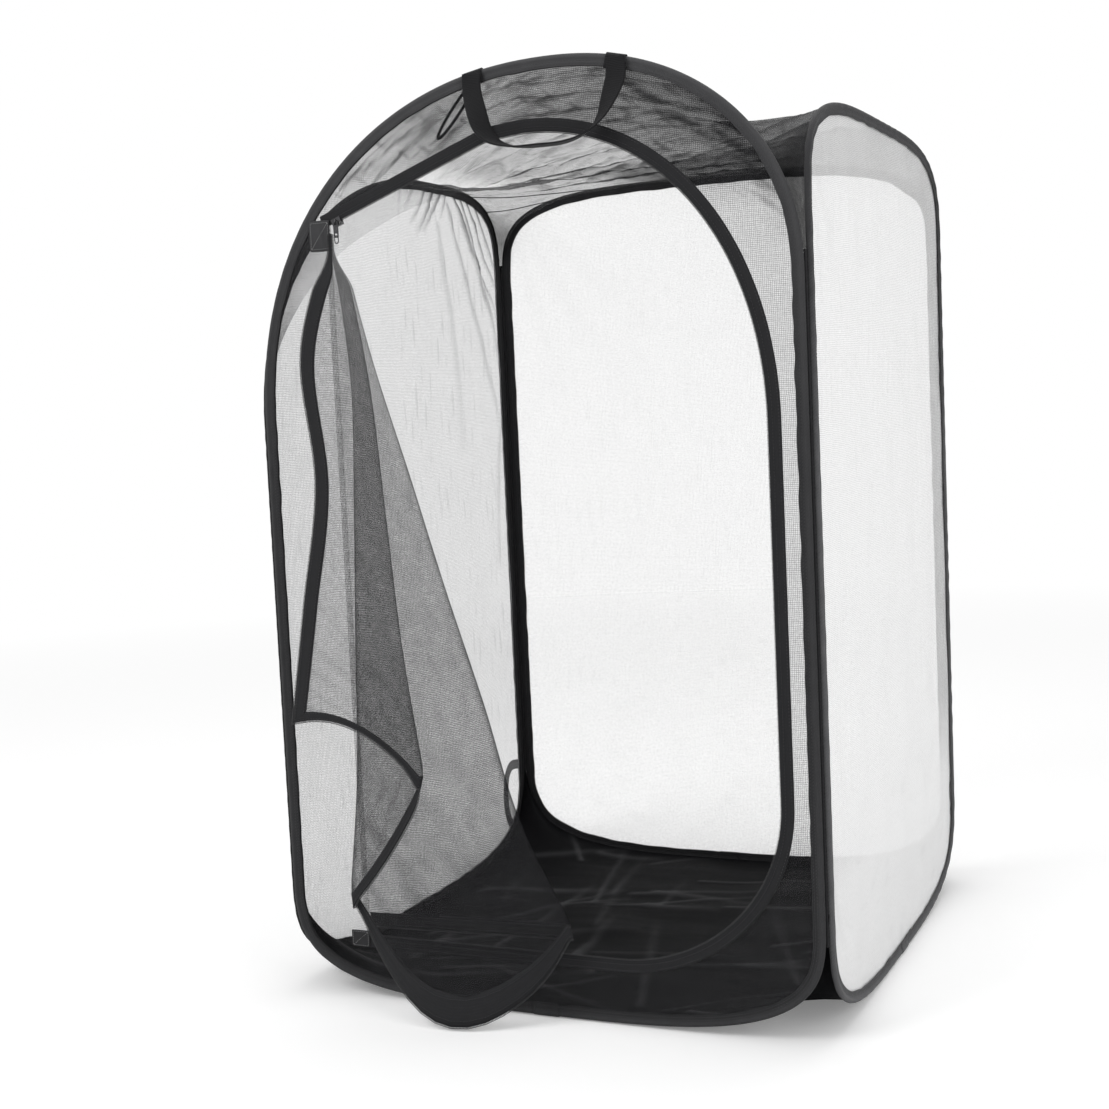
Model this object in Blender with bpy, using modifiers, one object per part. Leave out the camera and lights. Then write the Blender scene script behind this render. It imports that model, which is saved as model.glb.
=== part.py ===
"""Pop-up insect cage: four sprung hoops, mesh walls, a cloth floor and a zipped door.

Run with blender --background --python part.py, or from Blender's text editor.
The front wall, with the door, faces -Y and the cage stands on z = 0.
"""
import math

import bmesh
import bpy
import numpy as np
from mathutils import Matrix, Vector

# Overall size of the opened cage, outside to outside.
WIDTH = 0.610
DEPTH = 0.610
SIDE_HEIGHT = 0.914
FRONT_HEIGHT = 0.965

# Where the straight corner posts end and the hoops start to curve.
POST_TOP = SIDE_HEIGHT - 0.129
POST_FOOT = 0.130
FRONT_LEFT_TOP = FRONT_HEIGHT - 0.345
FRONT_RIGHT_TOP = FRONT_HEIGHT - 0.225
FRONT_APEX = WIDTH * 0.074
LEFT_APEX = WIDTH * -0.131
SIDE_POWER = 3.8
LEFT_POWER = 2.0
FRONT_POWER = 2.15
FOOT_POWER = 3.4
TOP_STEPS = 7
FOOT_STEPS = 6

# Hoop: steel wire in a folded tape that also grips the edge of the wall.
WIRE_RADIUS = 0.0010
FERRULE_WALL = 0.0006
FERRULE_LENGTH = 0.024
TAPE_THICKNESS = 0.0008
SLEEVE_WIDTH = 0.012
MESH_THICKNESS = 0.0008
CLEARANCE = 0.0003
HINGE_GAP = 0.0002
CLOSURE_LENGTH = 0.028
CLOSURE_THICKNESS = 0.0006

# Roof and floor sheets.
NET_STEPS = 16
NET_ROUNDS = 400
NET_EDGE = 0.0005
FLOOR_THICKNESS = 0.0012
FLOOR_SAG = 0.0022

# Door opening in the front wall, seen from the front.
DOOR_LEFT = WIDTH * -0.336
DOOR_RIGHT = WIDTH * 0.4295
DOOR_TOP = FRONT_HEIGHT - 0.068
DOOR_BOTTOM = 0.064
DOOR_CORNER_HEIGHT = FRONT_HEIGHT - 0.139
DOOR_SLOPE_END = Vector((WIDTH * -0.033, DOOR_TOP - 0.0035))
DOOR_ARCH_CENTRE = Vector((WIDTH * 0.033, FRONT_HEIGHT - 0.365))
DOOR_FOOT_CENTRE = Vector((WIDTH * 0.139, 0.235))
DOOR_STEPS = 8

# Zipper on the edge of the opening.
ZIP_TAPE_OUT = 0.010
ZIP_TAPE_IN = 0.002
COIL_RADIUS = 0.0011
PATCH_WIDTH = 0.020
PATCH_HEIGHT = 0.026
LOW_PATCH_WIDTH = 0.022
LOW_PATCH_HEIGHT = 0.018
SEAM_TAPE_WIDTH = 0.008
PATCH_DROP = 0.002

# Slider and its pull.
SLIDER_LENGTH = 0.011
SLIDER_WIDTH = 0.0085
SLIDER_PLATE = 0.0010
SLIDER_PARK = 0.008
BAIL_RADIUS = 0.0022
BAIL_WIRE = 0.0006
PULL_LENGTH = 0.017
PULL_WIDTH = 0.0055
PULL_THICKNESS = 0.0010
PULL_RIM = 0.0012
EYE_HEIGHT = 0.0030
RING_RADIUS = 0.0040
RING_WIRE = 0.0006

# Door flap, unzipped and hanging from its top corner in four layers.
FLAP_THICKNESS = 0.0008
FLAP_ROWS = 17
FLAP_TOP = FRONT_HEIGHT - 0.170
FLAP_TAPE = 0.011
SEAM_LAP = 0.0085
FLAP_SPREAD = 0.0020
FLAP_TURN = 0.0035
FLAP_DROPS = (0.0, 0.098, 0.010, -0.026)
FLAP_FLARES = (0.0, 0.036, 0.0, 0.0)
FLAP_LIFT = 10

# Carry handle and the straps sewn on the hoops.
WEB_WIDTH = 0.020
WEB_THICKNESS = 0.0015
HANDLE_HALF_SPAN = 0.0765
HANDLE_DROP = 0.078
WRAP_THICKNESS = 0.0012
WRAP_LEG = 0.014
STRAP_THICKNESS = 0.0012
STORAGE_BAND = 0.009
STORAGE_LOOP = ((0.007, 0.122), (0.029, 0.124), (0.043, 0.114), (0.049, 0.096),
                (0.050, 0.074), (0.044, 0.052), (0.031, 0.038), (0.011, 0.032))
LOOP_BAND = 0.005
LOOP_TOP = -0.031
LOOP_REACH = 0.034
LOOP_HALF_WIDTH = 0.009
LOOP_TILT = math.radians(41)

# Values worked out from those above.
BULB_BORE = WIRE_RADIUS + FERRULE_WALL + 2 * CLEARANCE
BULB_RADIUS = BULB_BORE + TAPE_THICKNESS
HOOP_OFFSET = BULB_RADIUS + HINGE_GAP
HINGE_X = WIDTH / 2 - HOOP_OFFSET - BULB_RADIUS
HINGE_Y = DEPTH / 2 - HOOP_OFFSET - BULB_RADIUS
LIP_INNER = MESH_THICKNESS / 2 + CLEARANCE
LIP_OUTER = LIP_INNER + TAPE_THICKNESS
MESH_INSET = BULB_RADIUS + 2 * CLEARANCE
OUTER_FACE = HOOP_OFFSET + BULB_RADIUS
WALL_FACE = HOOP_OFFSET + MESH_THICKNESS / 2
TAPE_LEVEL = WALL_FACE + CLEARANCE + TAPE_THICKNESS / 2
COIL_LEVEL = TAPE_LEVEL
COIL_INSET = ZIP_TAPE_IN + COIL_RADIUS + CLEARANCE

COLOURS = {
    "black_tape": ((0.022, 0.022, 0.024), 0.75, 0.0),
    "grey_tape": ((0.20, 0.20, 0.21), 0.75, 0.0),
    "white_mesh": ((0.86, 0.86, 0.86), 0.80, 0.0),
    "black_mesh": ((0.050, 0.050, 0.054), 0.80, 0.0),
    "black_cloth": ((0.025, 0.025, 0.027), 0.85, 0.0),
    "black_webbing": ((0.018, 0.018, 0.020), 0.70, 0.0),
    "black_nylon": ((0.015, 0.015, 0.016), 0.45, 0.0),
    "spring_steel": ((0.55, 0.56, 0.58), 0.30, 1.0),
    "crimped_steel": ((0.62, 0.62, 0.60), 0.35, 1.0),
    "dark_metal": ((0.060, 0.060, 0.064), 0.40, 0.9),
}

for old in list(bpy.data.objects):
    bpy.data.objects.remove(old)

parts = bpy.data.collections.new("insect_cage")
guides = bpy.data.collections.new("guides")
bpy.context.scene.collection.children.link(parts)
bpy.context.scene.collection.children.link(guides)


def side_matrix(side):
    """Local x runs right and y up as seen from outside; z is the distance out from the hinges."""
    across, outward, reach = {
        "front": (Vector((1, 0, 0)), Vector((0, -1, 0)), HINGE_Y),
        "back": (Vector((-1, 0, 0)), Vector((0, 1, 0)), HINGE_Y),
        "left": (Vector((0, -1, 0)), Vector((-1, 0, 0)), HINGE_X),
        "right": (Vector((0, 1, 0)), Vector((1, 0, 0)), HINGE_X),
    }[side]
    turn = Matrix((across, Vector((0, 0, 1)), outward)).transposed().to_4x4()
    return Matrix.Translation(outward * reach) @ turn


def material(name):
    """One Principled material for a part."""
    colour, roughness, metallic = COLOURS[name]
    made = bpy.data.materials.new(name)
    made.use_nodes = True
    shader = made.node_tree.nodes["Principled BSDF"]
    shader.inputs["Base Color"].default_value = (*colour, 1.0)
    shader.inputs["Roughness"].default_value = roughness
    shader.inputs["Metallic"].default_value = metallic
    made.diffuse_color = (*colour, 1.0)
    return made


def place(name, data, finish, matrix, pivot):
    """Put a part in the scene and hang it on the empty that it moves with."""
    part = bpy.data.objects.new(name, data)
    parts.objects.link(part)
    part.data.materials.append(material(finish))
    part.parent = pivot
    part.matrix_parent_inverse = pivot.matrix_world.inverted()
    part.matrix_basis = matrix
    return part


def pivot_at(name, location, parent=None):
    """An empty on a joint's axis."""
    empty = bpy.data.objects.new(name, None)
    guides.objects.link(empty)
    empty.location = location
    empty.empty_display_size = 0.02
    bpy.context.view_layer.update()
    if parent is not None:
        empty.parent = parent
        empty.matrix_parent_inverse = parent.matrix_world.inverted()
    bpy.context.view_layer.update()
    return empty


def loop_spline(curve, points, closed=True):
    """Add a straight-edged spline through the points."""
    spline = curve.splines.new("POLY")
    spline.points.add(len(points) - 1)
    for item, point in zip(spline.points, points):
        depth = point[2] if len(point) == 3 else 0.0
        item.co = (point[0], point[1], depth, 1.0)
    spline.use_cyclic_u = closed


def flat_plate(name, loops, level, thickness, finish, side, pivot):
    """A flat sheet with straight-edged outlines; later outlines are holes."""
    curve = bpy.data.curves.new(name, "CURVE")
    curve.dimensions = "2D"
    curve.fill_mode = "BOTH"
    curve.extrude = thickness / 2
    for points in loops:
        loop_spline(curve, points)
    lift = Matrix.Translation((0, 0, level))
    return place(name, curve, finish, side_matrix(side) @ lift, pivot)


def tube(name, points, radius, finish, matrix, pivot, closed=False, detail=1):
    """A round wire or coil along the points."""
    curve = bpy.data.curves.new(name, "CURVE")
    curve.dimensions = "3D"
    curve.bevel_depth = radius
    curve.bevel_resolution = detail
    curve.use_fill_caps = not closed
    loop_spline(curve, points, closed)
    return place(name, curve, finish, matrix, pivot)


def sheet(name, rows, thickness, finish, matrix, pivot):
    """A cloth surface from rows of points, given its thickness by Solidify."""
    bm = bmesh.new()
    grid = [[bm.verts.new(point) for point in row] for row in rows]
    for upper, lower in zip(grid, grid[1:]):
        for k in range(len(upper) - 1):
            bm.faces.new((upper[k], upper[k + 1], lower[k + 1], lower[k]))
    mesh = bpy.data.meshes.new(name)
    bm.to_mesh(mesh)
    bm.free()
    mesh.shade_smooth()
    part = place(name, mesh, finish, matrix, pivot)
    shell = part.modifiers.new("thickness", "SOLIDIFY")
    shell.thickness = thickness
    shell.offset = 0.0
    shell.use_even_offset = True
    return part


def quarter(centre, reach, power, start, steps):
    """Points of one superellipse quarter, from angle start to start + 90 degrees."""
    points = []
    for k in range(steps + 1):
        angle = math.radians(start + 90 * k / steps)
        run, rise = math.cos(angle), math.sin(angle)
        points.append(Vector((
            centre[0] + reach[0] * math.copysign(abs(run) ** (2 / power), run),
            centre[1] + reach[1] * math.copysign(abs(rise) ** (2 / power), rise),
        )))
    return points


def hoop_outline(half, height, left_top, right_top, apex, left_power, right_power):
    """Outer edge of a hoop, from the bottom middle round by the right."""
    foot = (half, POST_FOOT)
    right_arch = (half - apex, height - right_top)
    left_arch = (half + apex, height - left_top)
    flat = Vector((FERRULE_LENGTH, 0))
    outline = [Vector((0, 0)), flat]
    outline += quarter((0, POST_FOOT), foot, FOOT_POWER, 270, FOOT_STEPS)[1:]
    outline += quarter((apex, right_top), right_arch, right_power, 0, TOP_STEPS)
    outline += quarter((apex, left_top), left_arch, left_power, 90, TOP_STEPS)[1:]
    outline += quarter((0, POST_FOOT), foot, FOOT_POWER, 180, FOOT_STEPS)[:-1]
    return outline + [-flat]


def inset(points, distance, closed=True):
    """Move an anticlockwise outline inwards by a distance."""
    moved = []
    count = len(points)
    for k, point in enumerate(points):
        before = points[k - 1] if closed or k else points[0]
        after = points[(k + 1) % count] if closed or k < count - 1 else points[-1]
        run = (after - before).normalized()
        moved.append(point + Vector((-run.y, run.x)) * distance)
    return moved


def sleeve_profile():
    """Section of the folded tape: a round bulb on the wire and two lips on the mesh."""
    reach = SLEEVE_WIDTH - BULB_RADIUS
    outer_angle = math.asin(LIP_OUTER / BULB_RADIUS)
    inner_angle = math.asin(LIP_INNER / BULB_BORE)
    points = [(reach, LIP_OUTER)]
    for k in range(7):
        angle = outer_angle + (2 * math.pi - 2 * outer_angle) * k / 6
        points.append((BULB_RADIUS * math.cos(angle), BULB_RADIUS * math.sin(angle)))
    points += [(reach, -LIP_OUTER), (reach, -LIP_INNER)]
    for k in range(9):
        angle = 2 * math.pi - inner_angle - (2 * math.pi - 2 * inner_angle) * k / 8
        points.append((BULB_BORE * math.cos(angle), BULB_BORE * math.sin(angle)))
    points.append((reach, LIP_INNER))
    return points[::-1]


def guide_profile(name, points):
    """A hidden outline that gives a swept part its section."""
    curve = bpy.data.curves.new(name, "CURVE")
    curve.dimensions = "2D"
    loop_spline(curve, points)
    guide = bpy.data.objects.new(name, curve)
    guides.objects.link(guide)
    guide.hide_render = True
    guide.display_type = "WIRE"
    return guide


def swept_band(name, points, profile, finish, matrix, pivot, closed=True):
    """Sweep a hidden section along a flat outline."""
    curve = bpy.data.curves.new(name, "CURVE")
    curve.dimensions = "2D"
    curve.fill_mode = "NONE"
    curve.bevel_mode = "OBJECT"
    curve.bevel_object = profile
    curve.use_fill_caps = not closed
    loop_spline(curve, points, closed)
    return place(name, curve, finish, matrix, pivot)


def ring_tube(name, bore, radius, length, finish, matrix, pivot):
    """A short hollow sleeve along local x, spun from its wall section."""
    bm = bmesh.new()
    section = [(-length / 2, bore), (length / 2, bore), (length / 2, radius), (-length / 2, radius)]
    corners = [bm.verts.new((x, 0, r)) for x, r in section]
    edges = [bm.edges.new((corners[k], corners[(k + 1) % 4])) for k in range(4)]
    bmesh.ops.spin(bm, geom=corners + edges, cent=(0, 0, 0), axis=(1, 0, 0),
                   angle=2 * math.pi, steps=10, use_merge=True)
    bmesh.ops.remove_doubles(bm, verts=bm.verts, dist=1e-6)
    bmesh.ops.recalc_face_normals(bm, faces=bm.faces)
    mesh = bpy.data.meshes.new(name)
    bm.to_mesh(mesh)
    bm.free()
    return place(name, mesh, finish, matrix, pivot)


def build_hoop(side, outline, tape, pivot):
    """One wall's sprung hoop: wire, crimped ferrule, folded tape and its overlap."""
    centre = inset(outline, BULB_RADIUS)
    level = side_matrix(side) @ Matrix.Translation((0, 0, HOOP_OFFSET))
    swept_band(side + "_hoop_tape", centre, section, tape, level, pivot)

    cut = Vector((CLEARANCE, 0))
    start = centre[0] + cut
    stop = centre[0] - cut
    wire = [(point.x, point.y, 0.0) for point in [start] + centre[1:] + [stop]]
    tube(side + "_spring_wire", wire, WIRE_RADIUS, "spring_steel", level, pivot)

    bore = WIRE_RADIUS + CLEARANCE
    ferrule = level @ Matrix.Translation((centre[0].x, centre[0].y, 0))
    ring_tube(side + "_wire_ferrule", bore, bore + FERRULE_WALL, FERRULE_LENGTH,
              "crimped_steel", ferrule, pivot)

    end = Vector((CLOSURE_LENGTH / 2, 0))
    overlap = [centre[0] + end, centre[0] - end]
    swept_band(side + "_tape_overlap", overlap, overlap_section, tape, level, pivot, closed=False)


def overlap_profile():
    """Section of the sewn overlap: a strip round the outside of the folded tape."""
    reach = SLEEVE_WIDTH - BULB_RADIUS
    near = CLEARANCE
    far = near + CLOSURE_THICKNESS
    first = math.asin((LIP_OUTER + near) / (BULB_RADIUS + near))
    last = math.radians(136)
    inner = [(reach, LIP_OUTER + near)]
    outer = [(reach, LIP_OUTER + far)]
    for k in range(5):
        angle = first + (last - first) * k / 4
        run, rise = math.cos(angle), math.sin(angle)
        inner.append(((BULB_RADIUS + near) * run, (BULB_RADIUS + near) * rise))
        outer.append(((BULB_RADIUS + far) * run, (BULB_RADIUS + far) * rise))
    return inner + outer[::-1]


def build_wall(side, outline, pivot):
    """A stretched mesh wall whose edge sits between the lips of the hoop's tape."""
    edge = inset(outline, MESH_INSET + BULB_RADIUS)
    flat_plate(side + "_mesh", [edge], HOOP_OFFSET, MESH_THICKNESS, "white_mesh", side, pivot)


def along(points, count):
    """Points spread evenly along a line of points."""
    path = np.array([tuple(point) for point in points])
    steps = np.linalg.norm(np.diff(path, axis=0), axis=1)
    travelled = np.concatenate(([0.0], np.cumsum(steps)))
    wanted = np.linspace(0.0, travelled[-1], count)
    return np.stack([np.interp(wanted, travelled, path[:, axis]) for axis in range(path.shape[1])], 1)


def hoop_edge(side, outline, from_height, to_height, upper):
    """World points on a hoop where the roof or floor is sewn, right corner to left."""
    centre = inset(outline, BULB_RADIUS)
    half = max(point.x for point in outline) - NET_EDGE
    if upper:
        chosen = [point for point in centre if point.y > (from_height if point.x > 0 else to_height)]
        run = [Vector((half, from_height))] + chosen + [Vector((-half, to_height))]
    else:
        low = min(from_height, to_height)
        split = next(k for k, point in enumerate(centre) if point.x < 0 and point.y < low)
        left = [point for point in centre[split:] if point.y < low]
        right = [point for point in centre[:split] if point.y < low]
        run = [Vector((half, from_height))] + (left + right)[::-1] + [Vector((-half, to_height))]
    matrix = side_matrix(side)
    spread = along([(min(max(p.x, -half), half), p.y) for p in run], NET_STEPS + 1)
    return np.array([tuple(matrix @ Vector((u, z, -NET_EDGE))) for u, z in spread])


def stretched_net(front, right, back, left, lowest, sag):
    """Fill four sewn edges with a sheet in which each point rests between its neighbours."""
    count = NET_STEPS + 1
    net = np.zeros((count, count, 3))
    ramp = np.linspace(0.0, 1.0, count)[:, None]
    net[:] = front[::-1][None, :, :] * (1 - ramp[:, None]) + back[None, :, :] * ramp[:, None]
    net[0, :] = front[::-1]
    net[-1, :] = back
    net[:, 0] = left
    net[:, -1] = right[::-1]
    for _ in range(NET_ROUNDS):
        middle = (net[:-2, 1:-1] + net[2:, 1:-1] + net[1:-1, :-2] + net[1:-1, 2:]) / 4
        middle[:, :, 2] = np.maximum(middle[:, :, 2] - sag, lowest)
        net[1:-1, 1:-1] = middle
    return net


def door_path():
    """The zipper's line: along the slope, over the arch, down the right and back along the foot."""
    start = Vector((DOOR_LEFT, DOOR_CORNER_HEIGHT))
    arch_reach = (DOOR_RIGHT - DOOR_ARCH_CENTRE.x, DOOR_TOP - DOOR_ARCH_CENTRE.y)
    arch = quarter(DOOR_ARCH_CENTRE, arch_reach, 2.1, 0, DOOR_STEPS)
    foot_reach = (DOOR_RIGHT - DOOR_FOOT_CENTRE.x, DOOR_FOOT_CENTRE.y - DOOR_BOTTOM)
    foot = quarter(DOOR_FOOT_CENTRE, foot_reach, 2.0, 270, DOOR_STEPS)
    corner = Vector((DOOR_LEFT, DOOR_BOTTOM))
    return [corner] + foot + arch + [DOOR_SLOPE_END.copy(), start]


def coil_line():
    """The middle of the coil, clear of the mesh at both ends."""
    line = inset(door_path(), COIL_INSET, closed=False)
    for end, inward in ((0, 1), (-1, -2)):
        line[end] = line[end] + (line[inward] - line[end]).normalized() * (COIL_RADIUS + CLEARANCE)
    return line


def band(points, inner, outer):
    """Outline of a strip that runs beside an open line, outer side first."""
    return inset(points, inner, closed=False) + inset(points, -outer, closed=False)[::-1]


def build_door_edge(pivot):
    """Front mesh with its door opening, the zipper half sewn to it, end patches and seam tape."""
    line = door_path()
    edge = inset(front_outline, MESH_INSET + BULB_RADIUS)
    flat_plate("front_mesh", [edge, line], HOOP_OFFSET, MESH_THICKNESS, "black_mesh", "front", pivot)
    strip = band(line, ZIP_TAPE_IN, ZIP_TAPE_OUT)
    flat_plate("door_zip_tape", [strip], TAPE_LEVEL, TAPE_THICKNESS, "black_tape", "front", pivot)
    coil = [(p.x, p.y, 0.0) for p in coil_line()]
    level = side_matrix("front") @ Matrix.Translation((0, 0, COIL_LEVEL))
    tube("door_zip_coil", coil, COIL_RADIUS, "black_nylon", level, pivot)

    right = DOOR_LEFT - CLEARANCE
    top = DOOR_CORNER_HEIGHT - PATCH_DROP
    low = DOOR_BOTTOM - ZIP_TAPE_OUT
    patch_level = TAPE_LEVEL + TAPE_THICKNESS + CLEARANCE
    for name, width, height, high in (("zip_top_patch", PATCH_WIDTH, PATCH_HEIGHT, top),
                                      ("zip_foot_patch", LOW_PATCH_WIDTH, LOW_PATCH_HEIGHT,
                                       low + LOW_PATCH_HEIGHT)):
        corners = [Vector((right - width, high - height)), Vector((right, high - height)),
                   Vector((right, high)), Vector((right - width, high))]
        flat_plate(name, [corners], patch_level, TAPE_THICKNESS, "black_tape", "front", pivot)

    seam_low = DOOR_BOTTOM + ZIP_TAPE_IN + 2 * CLEARANCE
    seam_high = DOOR_CORNER_HEIGHT - ZIP_TAPE_IN - ZIP_TAPE_OUT / 2
    seam = [Vector((DOOR_LEFT - SEAM_TAPE_WIDTH, seam_low)), Vector((DOOR_LEFT, seam_low)),
            Vector((DOOR_LEFT, seam_high)), Vector((DOOR_LEFT - SEAM_TAPE_WIDTH, seam_high))]
    flat_plate("door_seam_tape", [seam], TAPE_LEVEL, TAPE_THICKNESS, "black_tape", "front", pivot)


def fold_line(points, t):
    """A point (across, up, out) of a fold, t running from its top to its foot."""
    stations = np.array([(DOOR_LEFT + across * WIDTH, up * FLAP_TOP, out) for across, up, out in points])
    spread = np.linspace(0.0, 1.0, len(stations))
    return np.array([np.interp(t, spread, stations[:, axis]) for axis in range(3)])


# Folds of the hanging flap, from the sewn edge to the free edge: across from the seam as a share of
# the width, up as a share of the flap's top, and out from the hinges.
SEAM_OUT = TAPE_LEVEL + TAPE_THICKNESS / 2 + CLEARANCE + FLAP_THICKNESS / 2
FLAP_FOLDS = (
    ((-0.010, 1.0, SEAM_OUT), (-0.010, 0.54, SEAM_OUT), (-0.010, 0.098, SEAM_OUT)),
    ((0.029, 1.0, 0.011), (0.077, 0.853, 0.012), (0.138, 0.704, 0.014), (0.195, 0.560, 0.016),
     (0.259, 0.409, 0.018), (0.318, 0.258, 0.020), (0.416, 0.113, 0.022)),
    ((0.013, 1.0, 0.015), (0.036, 0.830, 0.018), (0.031, 0.660, 0.021), (0.025, 0.491, 0.027),
     (0.016, 0.314, 0.036), (-0.003, 0.142, 0.050)),
    ((0.036, 1.0, 0.019), (0.077, 0.830, 0.023), (0.102, 0.654, 0.030), (0.129, 0.484, 0.040),
     (0.177, 0.309, 0.058)),
    ((0.002, 1.0, 0.023), (-0.041, 0.855, 0.028), (-0.053, 0.704, 0.034), (-0.069, 0.541, 0.042),
     (-0.084, 0.385, 0.052)),
)
LAYERS = len(FLAP_FOLDS) - 1


def layer_share(layer, t, length, most):
    """A length as a share of one layer's width, t being the height."""
    width = np.linalg.norm(fold_line(FLAP_FOLDS[layer + 1], t) - fold_line(FLAP_FOLDS[layer], t))
    return min(most, length / width)


def flap_point(s, t):
    """A point of the flap, s from the sewn edge to the free edge and t from top to foot."""
    layer = min(int(s * LAYERS), LAYERS - 1)
    f = s * LAYERS - layer
    near = fold_line(FLAP_FOLDS[layer], t)
    far = fold_line(FLAP_FOLDS[layer + 1], t)
    rim = layer_share(layer, t, FLAP_TURN, 0.3)
    first = near[2] + FLAP_SPREAD * (1 if layer else 0)
    last = far[2] - FLAP_SPREAD * (1 if layer < LAYERS - 1 else 0)
    point = near + (far - near) * f
    g = min(max((f - rim) / (1 - 2 * rim), 0.0), 1.0)
    point[1] = near[1] + (far[1] - near[1]) * g
    point[2] = np.interp(f, (0.0, rim, 1 - rim, 1.0), (near[2], first, last, far[2]))
    belly = 4 * g * (1 - g)
    point[1] -= FLAP_DROPS[layer] * belly * t ** FLAP_LIFT
    point[2] += FLAP_FLARES[layer] * belly ** 2 * t ** FLAP_LIFT
    return point


def flap_stops(t):
    """Where a row of the flap has its points: at the folds, beside them and between them."""
    stops = []
    for layer in range(LAYERS):
        rim = layer_share(layer, t, FLAP_TURN, 0.3)
        stops += [(layer + f) / LAYERS for f in (0.0, rim, 0.35, 0.65, 1 - rim)]
    return stops + [1.0]


def tape_share(t):
    """How much of the sheet's width the tape on the free edge takes."""
    return layer_share(LAYERS - 1, t, FLAP_TAPE, 0.45) / LAYERS


def cloth_share(s, t):
    """Draw the cloth's last layer in, to leave room for the tape on its free edge."""
    last = 1 - 1 / LAYERS
    if s <= last:
        return s
    return last + (s - last) * (1 - tape_share(t) / (1 - last))


def unit(vectors):
    """The same directions, each one long."""
    return vectors / np.linalg.norm(vectors, axis=1)[:, None]


def build_flap(pivot):
    """The door cloth hanging in its folds, with the zipper half along its free edges."""
    rows = [k / FLAP_ROWS for k in range(FLAP_ROWS + 1)]
    foot = FLAP_TAPE / FLAP_TOP
    parting = CLEARANCE * 3
    cloth = [[flap_point(cloth_share(s, t), t * (1 - foot)) for s in flap_stops(t)] for t in rows]
    matrix = side_matrix("front")
    sheet("door_flap", cloth, FLAP_THICKNESS, "black_mesh", matrix, pivot)

    inner = [flap_point(1 - tape_share(t), t * (1 - foot)) for t in rows]
    outer = [flap_point(1.0, t * (1 - foot)) for t in rows[:-1]] + [flap_point(1.0, 1.0)]
    back = [cloth_share(s, 1.0) for s in flap_stops(1.0)[-2:1:-1]]
    back.append(layer_share(0, 1.0, SEAM_LAP, 0.3) / LAYERS)
    inner += [flap_point(s, 1 - foot) for s in back]
    outer += [flap_point(s, 1.0) for s in back]
    inner, outer = np.array(inner), np.array(outer)
    steps = unit(np.diff(outer, axis=0))
    run = unit(np.vstack([steps[:1], steps]) + np.vstack([steps, steps[-1:]]))
    across = outer - inner
    square = unit(across - run * np.sum(across * run, axis=1)[:, None])
    tape_rows = [inner + unit(across) * parting, outer]
    sheet("flap_zip_tape", tape_rows, FLAP_THICKNESS, "black_tape", matrix, pivot)
    coil = outer + square * (COIL_RADIUS + parting)
    tube("flap_zip_coil", [tuple(point) for point in coil], COIL_RADIUS, "black_nylon", matrix, pivot)


def cut_by(target, cutter):
    """Cut a part with a hidden solid."""
    guides.objects.link(cutter)
    cutter.hide_render = True
    cutter.display_type = "WIRE"
    cut = target.modifiers.new("cut", "BOOLEAN")
    cut.operation = "DIFFERENCE"
    cut.object = cutter
    cut.solver = "EXACT"


def block(name, size, centre):
    """A box mesh."""
    bm = bmesh.new()
    bmesh.ops.create_cube(bm, size=1.0)
    bmesh.ops.scale(bm, vec=size, verts=bm.verts)
    bmesh.ops.translate(bm, vec=centre, verts=bm.verts)
    mesh = bpy.data.meshes.new(name)
    bm.to_mesh(mesh)
    bm.free()
    return mesh


def torus_mesh(name, radius, wire, sweep_steps, wire_steps):
    """A closed ring in the local xy plane."""
    bm = bmesh.new()
    made = bmesh.ops.create_circle(bm, cap_ends=False, radius=wire, segments=wire_steps)
    bmesh.ops.rotate(bm, cent=(0, 0, 0), matrix=Matrix.Rotation(math.pi / 2, 3, "X"), verts=made["verts"])
    bmesh.ops.translate(bm, vec=(radius, 0, 0), verts=made["verts"])
    bmesh.ops.spin(bm, geom=bm.verts[:] + bm.edges[:], cent=(0, 0, 0), axis=(0, 0, 1),
                   angle=2 * math.pi, steps=sweep_steps, use_merge=True)
    bmesh.ops.remove_doubles(bm, verts=bm.verts, dist=1e-6)
    bmesh.ops.recalc_face_normals(bm, faces=bm.faces)
    mesh = bpy.data.meshes.new(name)
    bm.to_mesh(mesh)
    bm.free()
    mesh.shade_smooth()
    return mesh


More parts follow.
